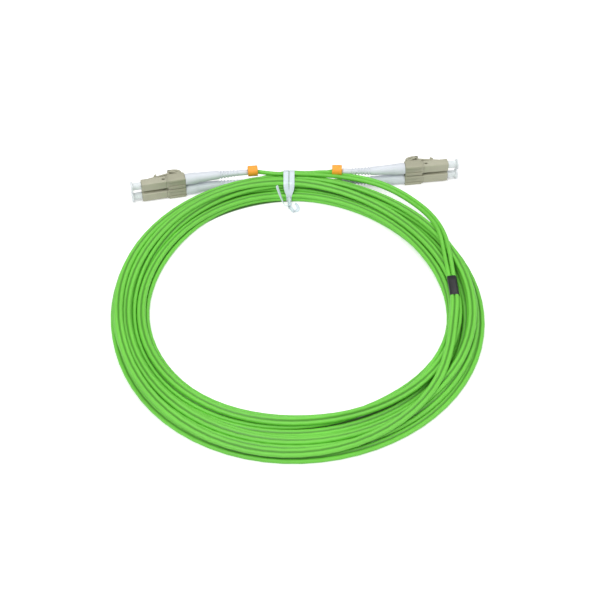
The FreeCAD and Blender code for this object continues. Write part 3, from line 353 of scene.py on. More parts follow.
def settle():
    """Radius and height of both strands at each station along the cord."""
    count = int(TURNS * STATIONS_PER_TURN) + 1
    turn = np.arange(count) / STATIONS_PER_TURN
    angle = START_ANGLE + 360 * turn
    radius, height = reel_rule(turn)
    tilt = np.radians(slow_waves(angle, TILT_DEGREES))
    place = np.zeros((count, 2, 2))
    for strand, side in ((0, -0.5), (1, 0.5)):
        place[:, strand, 0] = radius + side * PAIR_PITCH
        place[:, strand, 1] = height + START_ABOVE + side * PAIR_PITCH * np.sin(tilt)
    start = place.copy()
    held = np.exp(-(((angle - TIE_ANGLE + 180) % 360 - 180) / TIE_REACH) ** 2)
    inner = side_table(angle, INNER_SIDE) + TIE_SQUEEZE_IN * held
    outer = side_table(angle, OUTER_SIDE) - TIE_SQUEEZE_OUT * held
    top = OPEN_TOP - TIE_PRESS * held
    wander = slow_waves(angle, WANDER) * (1 - held)
    lane = inner + PAIR_PITCH + (outer - inner - 2 * PAIR_PITCH) * layer_share(turn) + wander
    beside = strands_beside(angle)
    pulled_out = np.exp(-(((angle - PULL_ANGLE + 180) % 360 - 180) / PULL_REACH) ** 2)

    def bend(p):
        """How far each place lies off the middle of its two neighbours."""
        middle = np.zeros_like(p)
        middle[1:-1] = (p[:-2] + p[2:]) / 2 - p[1:-1]
        return middle

    for r in range(ROUNDS + LAST_ROUNDS):
        last = r >= ROUNDS
        evening, straightening, pushes = LAST_SMOOTHING if last else SMOOTHING
        if not last:
            place[:, :, 1] -= SINK
            place[:, :, 0] += (OUTWARD_PULL * pulled_out)[:, None]
            place[:, :, 0] += (LANE_PULL * (lane - place[:, :, 0].mean(1)))[:, None]
            lean = place[:, 1, 1] - place[:, 0, 1]
            place[:, 0, 1] += LEVELLING * lean
            place[:, 1, 1] -= LEVELLING * lean
        place = place + evening * bend(place)
        place = place - straightening * bend(bend(place))
        for _ in range(pushes):
            push = np.zeros_like(place)
            touches = np.zeros((count, 2, 1))
            for apart in range(STATIONS_PER_TURN, count, STATIONS_PER_TURN):
                for a in (0, 1):
                    for b in (0, 1):
                        line = place[apart:, a] - place[:-apart, b]
                        far = np.sqrt((line ** 2).sum(1)) + 1e-9
                        overlap = np.maximum(0, LEAST_PITCH - far)[:, None]
                        move = line / far[:, None] * overlap / 2
                        push[apart:, a] += move
                        push[:-apart, b] -= move
                        touches[apart:, a] += overlap > 0
                        touches[:-apart, b] += overlap > 0
            for other in beside:
                for a in (0, 1):
                    line = place[:, a] - other
                    far = np.sqrt((line ** 2).sum(1)) + 1e-9
                    overlap = np.where(np.isfinite(far), np.maximum(0, LEAST_PITCH - far), 0)
                    push[:, a] += np.nan_to_num(line / far[:, None] * overlap[:, None])
                    touches[:, a] += (overlap > 0)[:, None]
            place += push / np.maximum(1, touches * SHARED_TOUCH)
            line = place[:, 1] - place[:, 0]
            far = np.sqrt((line ** 2).sum(1)) + 1e-9
            move = line / far[:, None] * ((far - PAIR_PITCH) / 2)[:, None]
            place[:, 0] += move
            place[:, 1] -= move
            place[:, :, 0] += np.clip((inner + STRAND_RADIUS)[:, None] - place[:, :, 0], 0, WALL_PUSH)
            place[:, :, 0] -= np.clip(place[:, :, 0] - (outer - STRAND_RADIUS)[:, None], 0, WALL_PUSH)
            place[:, :, 1] -= np.clip(place[:, :, 1] - (top - STRAND_RADIUS)[:, None], 0, WALL_PUSH)
            place[:, :, 1] = np.maximum(place[:, :, 1], LOWEST)
            place[:3] += START_HOLD * (start[:3] - place[:3])
            place[-3:, :, 0] += (END_PULL * (SLEEVE_RADIUS - place[-3:, :, 0].mean(1)))[:, None]
    return angle, place


coil_angles, coil_strands = settle()
near_tie = np.abs((coil_angles - TIE_ANGLE + 180) % 360 - 180) < 4
tied_radii, tied_heights = coil_strands[near_tie][:, :, 0], coil_strands[near_tie][:, :, 1]
print(f"settled bundle at the tie: radius {tied_radii.min() - 1:.1f} to {tied_radii.max() + 1:.1f}, "
      f"top {tied_heights.max() + 1:.1f} mm")

# %% [markdown]
# The settled places become the control points of one smooth spline, two dozen to a turn, and the
# twin jacket is drawn along the points that the spline gives. A plain round bevel can't draw two
# joined jackets, so the section is swept here by hand, leaning as the settled pair leans.


# %% Splines for cords
def spline_curve(name, points):
    """A curve object of one open, smooth spline through metres."""
    data = bpy.data.curves.new(name, "CURVE")
    data.dimensions = "3D"
    spline = data.splines.new("NURBS")
    spline.points.add(len(points) - 1)
    for target, point in zip(spline.points, points):
        target.co = (*point, 1)
    spline.order_u = 3
    spline.use_endpoint_u = True
    data.resolution_u = 6
    obj = bpy.data.objects.new(name, data)
    bpy.context.scene.collection.objects.link(obj)
    return obj


def evaluated_mesh(obj):
    """A mesh of the object as Blender draws it. The object itself is taken away."""
    bpy.context.view_layer.update()
    mesh = bpy.data.meshes.new_from_object(obj.evaluated_get(bpy.context.evaluated_depsgraph_get()))
    obj.modifiers.clear()
    bpy.data.objects.remove(obj)
    return mesh


def points_along(name, points, resolution):
    """The points that Blender gives for the spline, in order."""
    obj = spline_curve(name, points)
    obj.data.resolution_u = resolution
    mesh = evaluated_mesh(obj)
    found = [v.co.copy() for v in mesh.vertices]
    bpy.data.meshes.remove(mesh)
    return found


def control_points(points, untouched_end=2):
    """Move inner points outwards a little, so that the spline passes near the points themselves."""
    moved = [p.copy() for p in points]
    for i in range(2, len(points) - untouched_end):
        moved[i] = points[i] - (points[i - 1] - 2 * points[i] + points[i + 1]) / 8
    return moved


def on_ring(angle, radius, height):
    """A point of the drawing, given by its angle round the coil."""
    return Vector((radius * math.cos(math.radians(angle)), radius * math.sin(math.radians(angle)),
                   height))


# %% The coil's spline
CONTROLS_PER_TURN = 24
START_STUB = 6
BEYOND_DEGREES = (3, 6, 8.75)

every = STATIONS_PER_TURN // CONTROLS_PER_TURN
stations = list(range(0, len(coil_angles) - 1, every)) + [len(coil_angles) - 1]
middles = [on_ring(coil_angles[k], *coil_strands[k].mean(0)) for k in stations]
pair_sides = [on_ring(coil_angles[k], *(coil_strands[k, 1] - coil_strands[k, 0])).normalized()
              for k in stations]
first_along = (middles[1] - middles[0]).normalized()
last_spot = Vector((*coil_strands[-1].mean(0), 0))
beyond = [on_ring(coil_angles[-1] + degrees, last_spot.x, last_spot.y) for degrees in BEYOND_DEGREES]
middles = [middles[0] - first_along * START_STUB] + middles + beyond
pair_sides = [pair_sides[0]] + pair_sides + [pair_sides[-1]] * len(beyond)
last_along = (beyond[-1] - beyond[-2]).normalized()
control = control_points(middles, untouched_end=4)
coil_path = points_along("coil line", [at(*p) for p in control], 3)
coil_sides = []
for step in np.linspace(0, len(pair_sides) - 1, len(coil_path)):
    low = min(int(step), len(pair_sides) - 2)
    coil_sides.append(pair_sides[low].lerp(pair_sides[low + 1], step - low).normalized())
coil_length = sum((b - a).length for a, b in zip(coil_path, coil_path[1:]))
print(f"coil spline: {len(control)} control points, {len(coil_path)} points, {coil_length:.3f} m")


# %% Finished pieces
def piece(name, mesh, material, smooth_angle=40):
    """A finished object at the frame's zero, with soft shading up to an angle."""
    mesh.name = name
    obj = bpy.data.objects.new(name, mesh)
    bpy.context.scene.collection.objects.link(obj)
    mesh.materials.clear()
    mesh.materials.append(material)
    mesh.shade_smooth()
    mesh.set_sharp_from_angle(angle=math.radians(smooth_angle))
    return obj


# %% The coil's twin jacket
LOBE_STEPS = 10
LOBE_END = 160

twin_section = [(PAIR_PITCH / 2 + STRAND_RADIUS * math.cos(math.radians(a)),
                 STRAND_RADIUS * math.sin(math.radians(a)))
                for a in np.linspace(-LOBE_END, LOBE_END, LOBE_STEPS)]
twin_section += [(-x, -y) for x, y in twin_section]


def swept_mesh(path, sides, section):
    """A section, in millimetres, drawn square to a path in metres. UV runs along and round."""
    vertices, faces, uvs, lengths = [], [], [], [0.0]
    count, last = len(section), len(path) - 1
    for i, point in enumerate(path):
        along = (path[min(i + 1, last)] - path[max(i - 1, 0)]).normalized()
        side = (sides[i] - along * sides[i].dot(along)).normalized()
        up = along.cross(side)
        vertices += [point + (side * a + up * b) * MM for a, b in section]
        if i:
            lengths.append(lengths[-1] + (point - path[i - 1]).length)
    for i in range(last):
        near, far = i * count, (i + 1) * count
        for j in range(count):
            k = (j + 1) % count
            faces.append((near + j, near + k, far + k, far + j))
            uvs += [(lengths[i], j / count), (lengths[i], (j + 1) / count),
                    (lengths[i + 1], (j + 1) / count), (lengths[i + 1], j / count)]
    for end in (range(count)[::-1], range(last * count, (last + 1) * count)):
        faces.append(tuple(end))
        uvs += [(0, 0)] * count
    mesh = bpy.data.meshes.new("swept")
    mesh.from_pydata([tuple(v) for v in vertices], [], faces)
    layer = mesh.uv_layers.new(name="along")
    layer.data.foreach_set("uv", [c for uv in uvs for c in uv])
    mesh.validate()
    return mesh


# %% [markdown]
# ## Plastics and metals
#
# Every finish gets a little unevenness, because moulded and extruded plastic is never one flat
# colour: a slow drift of tone, a fine grain that breaks up the gloss, and paler worn edges on the
# hard parts. A fourth effect is painted shade, not a colour of the plastic: it darkens the colour in
# the groove between the twin jackets, where little light gets in. Four groups hold these effects,
# and each material sets its own amounts.

# %% Shared effects
VECTOR, COLOR, FLOAT = "NodeSocketVector", "NodeSocketColor", "NodeSocketFloat"
WHITE = (1, 1, 1, 1)
NOISE_LOW, NOISE_HIGH = 0.3, 0.7
FLAT_NORMAL, EDGE_NORMAL = 0.98, 0.80
GROOVE_CORE, GROOVE_REACH = 0.06, 0.19
GROOVE_TURN = 0.55


def effect_group(name, inputs, outputs):
    """An empty shader group, what it is given, and the node for what it makes."""
    group = bpy.data.node_groups.new(name, "ShaderNodeTree")
    for label, kind, value in inputs:
        socket = group.interface.new_socket(label, in_out="INPUT", socket_type=kind)
        socket.default_value = value
    for label, kind in outputs:
        group.interface.new_socket(label, in_out="OUTPUT", socket_type=kind)
    return group, add_node(group, "NodeGroupInput").outputs, add_node(group, "NodeGroupOutput")


tone_group, given, made = effect_group(
    "Tone drift", [("Vector", VECTOR, (0, 0, 0)), ("Color", COLOR, WHITE), ("Scale", FLOAT, 60.0),
                   ("Amount", FLOAT, 0.1)], [("Color", COLOR), ("Mask", FLOAT)])
drift = add_node(tone_group, "ShaderNodeTexNoise",
                 {"Detail": 3.0, "Vector": given["Vector"], "Scale": given["Scale"]})
swing = add_node(tone_group, "ShaderNodeMapRange", {"Value": drift.outputs["Fac"], "From Min": NOISE_LOW,
                                                    "From Max": NOISE_HIGH, "To Min": -1.0})
strength = math_node(tone_group, "MULTIPLY_ADD", swing.outputs["Result"], given["Amount"], 1.0)
toned = add_node(tone_group, "ShaderNodeVectorMath", {0: given["Color"], "Scale": strength},
                 operation="SCALE")
set_inputs(tone_group, made, {"Color": toned.outputs[0], "Mask": drift.outputs["Fac"]})

grain_group, given, made = effect_group(
    "Fine grain", [("Vector", VECTOR, (0, 0, 0)), ("Scale", FLOAT, 3000.0), ("Rough Low", FLOAT, 0.4),
                   ("Rough High", FLOAT, 0.55)], [("Height", FLOAT), ("Roughness", FLOAT)])
grain = add_node(grain_group, "ShaderNodeTexNoise", {"Detail": 4.0, "Roughness": 0.6,
                                                     "Vector": given["Vector"], "Scale": given["Scale"]})
rough = add_node(grain_group, "ShaderNodeMapRange",
                 {"Value": grain.outputs["Fac"], "From Min": NOISE_LOW, "From Max": NOISE_HIGH,
                  "To Min": given["Rough Low"], "To Max": given["Rough High"]})
set_inputs(grain_group, made, {"Height": grain.outputs["Fac"], "Roughness": rough.outputs["Result"]})

edge_group, given, made = effect_group(
    "Worn edges", [("Radius", FLOAT, 0.0002), ("Color", COLOR, WHITE), ("Edge Color", COLOR, WHITE),
                   ("Amount", FLOAT, 0.5)], [("Color", COLOR), ("Mask", FLOAT)])
rounded = add_node(edge_group, "ShaderNodeBevel", {"Radius": given["Radius"]}, samples=4)
shape = add_node(edge_group, "ShaderNodeNewGeometry")
compare = add_node(edge_group, "ShaderNodeVectorMath",
                   {0: rounded.outputs["Normal"], 1: shape.outputs["Normal"]}, operation="DOT_PRODUCT")
edge = add_node(edge_group, "ShaderNodeMapRange", {"Value": compare.outputs["Value"],
                                                   "From Min": FLAT_NORMAL, "From Max": EDGE_NORMAL})
worn = math_node(edge_group, "MULTIPLY", edge.outputs["Result"], given["Amount"])
blend = add_node(edge_group, "ShaderNodeMix",
                 {"Factor": worn, "A": given["Color"], "B": given["Edge Color"]}, data_type="RGBA")
set_inputs(edge_group, made, {"Color": blend.outputs["Result"], "Mask": worn})

# Painted shade: the colour is darkened near the web between the two round jackets, found from the UV
# round the section.
painted_groove_group, given, made = effect_group(
    "Painted groove shade", [("Vector", VECTOR, (0, 0, 0)), ("Color", COLOR, WHITE), ("Darkest", FLOAT, 0.3)],
    [("Color", COLOR), ("Mask", FLOAT)])
round_share = add_node(painted_groove_group, "ShaderNodeSeparateXYZ", {0: given["Vector"]}).outputs["Y"]
folded = math_node(painted_groove_group, "MULTIPLY_ADD", round_share, 2.0, GROOVE_TURN)
away = math_node(painted_groove_group, "SUBTRACT", math_node(painted_groove_group, "FRACT", folded), 0.5)
open_share = add_node(painted_groove_group, "ShaderNodeMapRange",
                      {"Value": math_node(painted_groove_group, "ABSOLUTE", away), "From Min": GROOVE_CORE,
                       "From Max": GROOVE_REACH, "To Min": given["Darkest"]},
                      interpolation_type="SMOOTHSTEP")
shaded = add_node(painted_groove_group, "ShaderNodeVectorMath",
                  {0: given["Color"], "Scale": open_share.outputs["Result"]}, operation="SCALE")
set_inputs(painted_groove_group, made, {"Color": shaded.outputs[0], "Mask": open_share.outputs["Result"]})

# %% One recipe for all hard and soft plastics
WORN_RADIUS = 0.0002
ROUGHNESS_SWING = 0.07
GRAIN_STRENGTH = 0.5


def plastic(name, color, roughness, drift_scale=60.0, drift_amount=0.06, grain_scale=3000.0,
            bump=0.00001, edge_color=None, edge_amount=0.35, groove=None, **own):
    """A material from the four effects. Extra words set the Principled shader's own sockets."""
    material, tree, shader = new_material(name)
    where = add_node(tree, "ShaderNodeTexCoord").outputs
    color_now = add_node(tree, "ShaderNodeGroup",
                         {"Color": linear(*color), "Scale": drift_scale, "Amount": drift_amount,
                          "Vector": where["Object"]}, node_tree=tone_group).outputs["Color"]
    if edge_color:
        color_now = add_node(tree, "ShaderNodeGroup",
                             {"Color": color_now, "Radius": WORN_RADIUS, "Amount": edge_amount,
                              "Edge Color": linear(*edge_color)}, node_tree=edge_group).outputs["Color"]
    # Painted shade in the groove between the twin jackets.
    if groove is not None:
        color_now = add_node(tree, "ShaderNodeGroup",
                             {"Color": color_now, "Vector": where["UV"], "Darkest": groove},
                             node_tree=painted_groove_group).outputs["Color"]
    fine = add_node(tree, "ShaderNodeGroup",
                    {"Scale": grain_scale, "Vector": where["Object"],
                     "Rough Low": roughness - ROUGHNESS_SWING,
                     "Rough High": roughness + ROUGHNESS_SWING}, node_tree=grain_group)
    surface = add_node(tree, "ShaderNodeBump", {"Strength": GRAIN_STRENGTH, "Distance": bump,
                                                "Height": fine.outputs["Height"]})
    set_inputs(tree, shader, {"Base Color": color_now, "Roughness": fine.outputs["Roughness"],
                              "Normal": surface.outputs["Normal"]})
    set_inputs(tree, shader, {socket.replace("_", " "): value for socket, value in own.items()})
    return material


# %% The finishes
JACKET = {"color": (110, 201, 66), "roughness": 0.5, "drift_scale": 25, "drift_amount": 0.07,
          "grain_scale": 2500, "bump": 0.00002}
lime_jacket = plastic("lime jacket", **JACKET)
# The twin jacket gets painted shade in the groove between its two halves.
lime_twin = plastic("lime twin jacket", groove=0.5, **JACKET)
plug_beige = plastic("beige plug plastic", (173, 172, 151), 0.45, edge_color=(202, 201, 184),
                     bump=0.000012)
clip_beige = plastic("beige clip plastic", (168, 167, 145), 0.5, edge_color=(198, 197, 180),
                     bump=0.000012)
latch_beige = plastic("beige latch plastic", (176, 175, 154), 0.42, edge_color=(202, 201, 184))
boot_white = plastic("white boot rubber", (214, 219, 226), 0.55, drift_amount=0.03, bump=0.000015)
cap_clear = plastic("milky cap plastic", (232, 238, 240), 0.3, drift_amount=0.03, bump=0.000006,
                    Transmission_Weight=0.12, IOR=1.45)
marker_orange = plastic("orange marker plastic", (250, 166, 48), 0.45, edge_color=(255, 196, 108),
                        edge_amount=0.3)
sleeve_black = plastic("black shrink tube", (30, 31, 34), 0.42, drift_amount=0.15, bump=0.00003,
                       grain_scale=1400)
tie_milky = plastic("milky tie strip", (208, 221, 228), 0.3, drift_amount=0.04, grain_scale=1800,
                    Coat_Weight=0.3)
ferrule_ceramic = plastic("white ceramic", (240, 240, 236), 0.18, drift_amount=0.01, bump=0.000002,
                          Coat_Weight=0.4)
holder_metal = plastic("nickel plated holder", (190, 186, 176), 0.3, drift_amount=0.05, bump=0.000005,
                       Metallic=1.0)
spring_steel = plastic("spring steel", (165, 165, 165), 0.32, drift_amount=0.08, bump=0.000005,
                       Metallic=1.0)
crimp_metal = plastic("crimped brass plated sleeve", (186, 170, 128), 0.35, drift_amount=0.08,
                      Metallic=1.0)
fibre_coat = plastic("fibre coating", (225, 225, 214), 0.4, drift_amount=0.03)
print("materials", len(bpy.data.materials))

# %% [markdown]
# The coil is one piece.

# %% Lay the coil
coil = piece("twin_cord_coil", swept_mesh(coil_path, coil_sides, twin_section), lime_twin, 60)
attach(coil, "cord")
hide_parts("cord_coil")

# %% [markdown]
# ## The free strands
#
# At each end the twin cord splits inside a short black sleeve. The two strands of the right-hand end
# run under the bundle, the two of the left-hand end climb through the tie, swing out in a loose bow
# on the far right, and come back over the coil to their sleeve. Each is one spline with a round bevel.

# %% Ends of the coil
lower_middle, upper_middle = middles[0], middles[-1]
lower_side, upper_side = (-side if side.dot(middle) < 0 else side for side, middle in
                          ((pair_sides[0], lower_middle), (pair_sides[-1], upper_middle)))
print("sleeves at", [round(c, 1) for c in lower_middle], [round(c, 1) for c in upper_middle])

# %% The frame of each plug
CLIP_LIFT = 5.925
PLUG_PITCH = 6.25
BOOT_LENGTH, BOOT_SOCKET = 30.9, 5.6
LEVELS = ("upper", "lower")


def pair_frame(x, y, yaw):
    """Out of the plug along X, across the pair along Y, up the latch along Z."""
    out = Vector((math.cos(math.radians(yaw)), math.sin(math.radians(yaw)), 0))
    latch = (Vector((0, 1, 0)) - out * out.y).normalized()
    across = latch.cross(out)
    return Matrix((out, across, latch)).transposed(), Vector((x, y, CLIP_LIFT))


# Each end: its directions, the clip's rear middle, and how many degrees its boots bend.
ends = {"left": (*pair_frame(-55.1, 76.4, 192.5), -6.0), "right": (*pair_frame(52.4, 84.6, 7.5), 9.0)}


def plug_point(side, level, along, across, latchward):
    """A point of one plug, in the drawing's millimetres."""
    turn, rear, _ = ends[side]
    up = 1 if level == "upper" else -1
    shift = PLUG_PITCH / 2 * up * (1 if turn.col[1].z > 0 else -1)
    return rear + turn @ Vector((along, across + shift, latchward))


def boot_axis(side, distance):
    """Point and direction on the boot's axis behind the plug, in the plug's own frame."""
    bend = ends[side][2]
    if distance <= BOOT_SOCKET:
        return Vector((-distance, 0, 0)), Vector((-1, 0, 0))
    radius = (BOOT_LENGTH - BOOT_SOCKET) / math.radians(bend)
    share = (distance - BOOT_SOCKET) / radius
    return (Vector((-BOOT_SOCKET - radius * math.sin(share), 0, radius * (1 - math.cos(share)))),
            Vector((-math.cos(share), 0, math.sin(share))))


def on_boot(side, level, distance):
    """Point and direction on the boot's axis, in the drawing."""
    local, direction = boot_axis(side, distance)
    return plug_point(side, level, *local), ends[side][0] @ direction


# %% Lay points on the bundle
REACH_SQUARED = 4.2
MOST_DROP = 0.6


def beside(points, offset):
    """The same points moved level to the side of their path: positive is outwards."""
    moved = []
    for i, point in enumerate(points):
        along = points[min(i + 1, len(points) - 1)] - points[max(i - 1, 0)]
        moved.append(point + Vector((-along.y, along.x, 0)).normalized() * offset)
    return moved


def resting(x, y, least=0.0):
    """The height at which a strand lies on the settled bundle at this place."""
    angle, radius = math.degrees(math.atan2(y, x)), math.hypot(x, y)
    height = max(least, LOWEST)
    near = np.abs((coil_angles - angle + 180) % 360 - 180) < 180 / STATIONS_PER_TURN + 0.1
    below = [tuple(p) for k in np.where(near)[0] for p in coil_strands[k]]
    below += [tuple(p[0]) for p in strands_beside(np.array([angle])) if not np.isnan(p[0][0])]
    for r, z in below:
        if abs(r - radius) < 2 * STRAND_RADIUS:
            height = max(height, z + math.sqrt(REACH_SQUARED - (r - radius) ** 2))
    return height


def laid(points):
    """Put points on the bundle, each at least at its own height, and ease the steps between them."""
    heights = [resting(p.x, p.y, p.z) for p in points]
    eased = [max(h, (a + b) / 2 - MOST_DROP) for a, h, b in zip(heights[:1] + heights[:-1], heights,
                                                                heights[1:] + heights[-1:])]
    return [Vector((p.x, p.y, h)) for p, h in zip(points, eased)]


# %% Routes of the free strands
HALF_BOW = 1.06
LOOSE_BOW = [Vector(p) for p in ((22.5, 80.4, 7.8), (34.2, 77.6, 7.2), (43.8, 73.4, 6.6),
                                 (53.2, 66.2, 6.0), (62.0, 54.6, 5.6), (67.0, 40.6, 5.4),
                                 (69.0, 27.0, 5.4))]
TO_THE_BOW = {"upper": [(-16.5, 82.0, 8.6), (-9.6, 80.6, 7.6), (-3.0, 79.9, 6), (5.0, 79.8, 6),
                        (14.0, 79.8, 6.6)],
              "lower": [(-17.5, 83.6, 3.6), (-11.0, 83.9, 5.2), (-4.2, 82.2, 5.6), (4.0, 82.0, 6),
                        (14.0, 82.0, 6.6)]}
UNDER_BUNDLE = (83, 88, 93, 99, 106, 116, 128, 140, 152, 162, 171)
INTO_BOOT, OUT_OF_BOOT = 4, 4
BEFORE_SLEEVE, IN_SLEEVE = 7, 0.2
SPREAD_AT_SLEEVE = 1.02

routes = {f"left_{level}": laid([Vector(p) for p in TO_THE_BOW[level]] + beside(LOOSE_BOW, offset))
          for level, offset in (("upper", -HALF_BOW), ("lower", HALF_BOW))}
under = dict(zip(("lower", "upper"), strands_beside(np.array(UNDER_BUNDLE, float))))
for level in LEVELS:
    routes["right_" + level] = [on_ring(a, *p) for a, p in zip(UNDER_BUNDLE, under[level])]

strand_curves = {}
for side, middle, sideways, along in (("left", upper_middle, upper_side, last_along),
                                      ("right", lower_middle, lower_side, -first_along)):
    for level in LEVELS:
        outward = 1 if (side == "left") == (level == "lower") else -1
        offset = sideways * (PAIR_PITCH / 2) * outward
        tail, tail_along = on_boot(side, level, BOOT_LENGTH)
        inside, _ = on_boot(side, level, BOOT_LENGTH - INTO_BOOT)
        route = [inside, tail, tail + tail_along * OUT_OF_BOOT] + routes[f"{side}_{level}"]
        route += [middle + offset * SPREAD_AT_SLEEVE + along * BEFORE_SLEEVE,
                  middle + offset + along * IN_SLEEVE]
        strand = spline_curve(f"{side}_{level}_strand", [at(*p) for p in control_points(route)])
        strand_curves[side, level] = (strand, tail)

# %% Draw the strands
for (side, level), (curve, tail) in strand_curves.items():
    curve.data.bevel_depth = STRAND_RADIUS * MM
    curve.data.bevel_resolution = 4
    curve.data.use_fill_caps = True
    curve.data.materials.append(lime_jacket)
    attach(curve, "cord")
    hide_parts(f"{side}_{level}_leg")

# %% [markdown]
# ## Split sleeves
#
# Where the twin cord parts, the maker shrinks a short black tube over the joint. A shrunk tube takes
# the outline of what is inside: round over each strand and flat between them. So it is a flattened
# ring swept along the joint, with thin rims turned in at both ends.


# %% Shells from loops of points
def lofted(name, loops, closed=False):
    """A shell through loops of points in metres. It has flat ends, unless the loops close up."""
    shell = bmesh.new()
    rings = [[shell.verts.new(point) for point in loop] for loop in loops]
    for near, far in zip(rings, rings[1:] + rings[:1] if closed else rings[1:]):
        for j in range(len(near)):
            k = (j + 1) % len(near)
            shell.faces.new((near[j], near[k], far[k], far[j]))
    if not closed:
        shell.faces.new(rings[0])
        shell.faces.new(rings[-1])
    bmesh.ops.recalc_face_normals(shell, faces=shell.faces)
    mesh = bpy.data.meshes.new(name)
    shell.to_mesh(mesh)
    shell.free()
    return mesh


def section_at(centre, side, up, section):
    """A section's points in metres, at a place of the drawing, along two directions."""
    return [at(*(centre + side * a + up * b)) for a, b in section]


# %% Shrink the two sleeves
SLEEVE_LENGTH = 12.0
SLEEVE_WALL = 0.17
STADIUM_STEPS = 9

half = SLEEVE_LENGTH / 2
outer = STRAND_RADIUS + SLEEVE_WALL
SLEEVE_RINGS = [(-half + 0.5, STRAND_RADIUS + 0.04), (-half + 0.05, STRAND_RADIUS + 0.06),
                (-half, outer - 0.1), (-half + 0.12, outer), (-half * 0.4, outer + 0.02),
                (0, outer - 0.03), (half * 0.4, outer + 0.02), (half - 0.12, outer), (half, outer - 0.1),
                (half - 0.05, STRAND_RADIUS + 0.06), (half - 0.5, STRAND_RADIUS + 0.04)]


def stadium(radius):
    """Outline of a tube drawn over two strands."""
    right = [(PAIR_PITCH / 2 + radius * math.cos(math.radians(a)), radius * math.sin(math.radians(a)))
             for a in np.linspace(-90, 90, STADIUM_STEPS)]
    return right + [(-x, -y) for x, y in right]


for name, node, middle, along, side in (
        ("lower_shrink_sleeve", "lower_split_sleeve", lower_middle, -first_along, lower_side),
        ("upper_shrink_sleeve", "upper_split_sleeve", upper_middle, last_along, upper_side)):
    up = along.cross(side)
    loops = [section_at(middle + along * step, side, up, stadium(radius))
             for step, radius in SLEEVE_RINGS]
    sleeve = piece(name, lofted(name, loops), sleeve_black, 50)
    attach(sleeve, "cord")
    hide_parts(node)
print("sleeves", SLEEVE_LENGTH, "mm long")

# %% [markdown]
# ## Boots
#
# A boot is a soft tapered tube moulded over the strand, with a few ribs near its thin end so that it
# bends in a curve instead of a kink. Its body is rings of changing size along the bent axis. The ribs
# repeat, so a small Geometry Nodes tree places rings on points of the same axis, and scales each.

# %% The ribs' tree
RIB_COUNT, RIB_PITCH, RIB_START = 6, 1.6, 17.9
RIB_FIRST, RIB_LAST, RIB_THICKNESS = 0.00158, 0.00124, 0.0005

rib_tree = bpy.data.node_groups.new("boot ribs", "GeometryNodeTree")
rib_ids = {}
for label, kind, value in (("Axis", "Geometry", None), ("Count", "Int", RIB_COUNT),
                           ("First radius", "Float", 0.0021), ("Last radius", "Float", 0.0016),
                           ("Thickness", "Float", RIB_THICKNESS), ("Material", "Material", None)):
    socket = rib_tree.interface.new_socket(label, in_out="INPUT", socket_type="NodeSocket" + kind)
    if value is not None:
        socket.default_value = value
    rib_ids[label] = socket.identifier
rib_tree.interface.new_socket("Geometry", in_out="OUTPUT", socket_type="NodeSocketGeometry")

given = add_node(rib_tree, "NodeGroupInput").outputs
axis_line = add_node(rib_tree, "GeometryNodeMeshToCurve", {"Mesh": given["Axis"]})
spots = add_node(rib_tree, "GeometryNodeCurveToPoints",
                 {"Curve": axis_line.outputs["Curve"], "Count": given["Count"]}, mode="COUNT").outputs
hoop = add_node(rib_tree, "GeometryNodeCurvePrimitiveCircle", {"Resolution": 28, "Radius": 1.0})
thin = math_node(rib_tree, "DIVIDE", given["Thickness"], given["First radius"])
profile = add_node(rib_tree, "GeometryNodeCurvePrimitiveCircle", {"Resolution": 8, "Radius": thin})
rib = add_node(rib_tree, "GeometryNodeCurveToMesh", {"Curve": hoop.outputs["Curve"],
                                                     "Profile Curve": profile.outputs["Curve"]})
order = add_node(rib_tree, "GeometryNodeInputIndex")
span = add_node(rib_tree, "ShaderNodeMapRange",
                {"Value": order.outputs["Index"],
                 "From Max": math_node(rib_tree, "SUBTRACT", given["Count"], 1.0),
                 "To Min": given["First radius"], "To Max": given["Last radius"]})
scale = add_node(rib_tree, "ShaderNodeCombineXYZ", {axis: span.outputs["Result"] for axis in range(3)})
copies = add_node(rib_tree, "GeometryNodeInstanceOnPoints",
                  {"Points": spots["Points"], "Rotation": spots["Rotation"],
                   "Instance": rib.outputs["Mesh"], "Scale": scale.outputs[0]})
solid_ribs = add_node(rib_tree, "GeometryNodeRealizeInstances",
                      {"Geometry": copies.outputs["Instances"]})
painted = add_node(rib_tree, "GeometryNodeSetMaterial",
                   {"Geometry": solid_ribs.outputs["Geometry"], "Material": given["Material"]})
add_node(rib_tree, "NodeGroupOutput", {"Geometry": painted.outputs["Geometry"]})


def ribs_along(points, values):
    """A plain mesh of ribs on the line through these points, in metres."""
    line = bpy.data.meshes.new("rib line")
    line.from_pydata([tuple(p) for p in points], [(i, i + 1) for i in range(len(points) - 1)], [])
    obj = bpy.data.objects.new("rib line", line)
    bpy.context.scene.collection.objects.link(obj)
    modifier = obj.modifiers.new("ribs", "NODES")
    modifier.node_group = rib_tree
    for label, value in values.items():
        modifier[rib_ids[label]] = value
    mesh = evaluated_mesh(obj)
    bpy.data.meshes.remove(line)
    return mesh


# %% Turned shapes along an axis
def turned(axis_points, radii, steps=28):
    """A closed round shell. Each point is (place in metres, direction), each radius in millimetres."""
    loops = []
    for (place, along), radius in zip(axis_points, radii):
        side = (Vector((0, 0, 1)) - along * along.z).normalized()
        other = along.cross(side)
        loops.append([place + (side * math.cos(t) + other * math.sin(t)) * radius * MM
                      for t in (2 * math.pi * k / steps for k in range(steps))])
    return lofted("turned", loops)


def joined(name, *meshes):
    """One mesh from several."""
    both = bmesh.new()
    for mesh in meshes:
        both.from_mesh(mesh)
    whole = bpy.data.meshes.new(name)
    both.to_mesh(whole)
    both.free()
    return whole


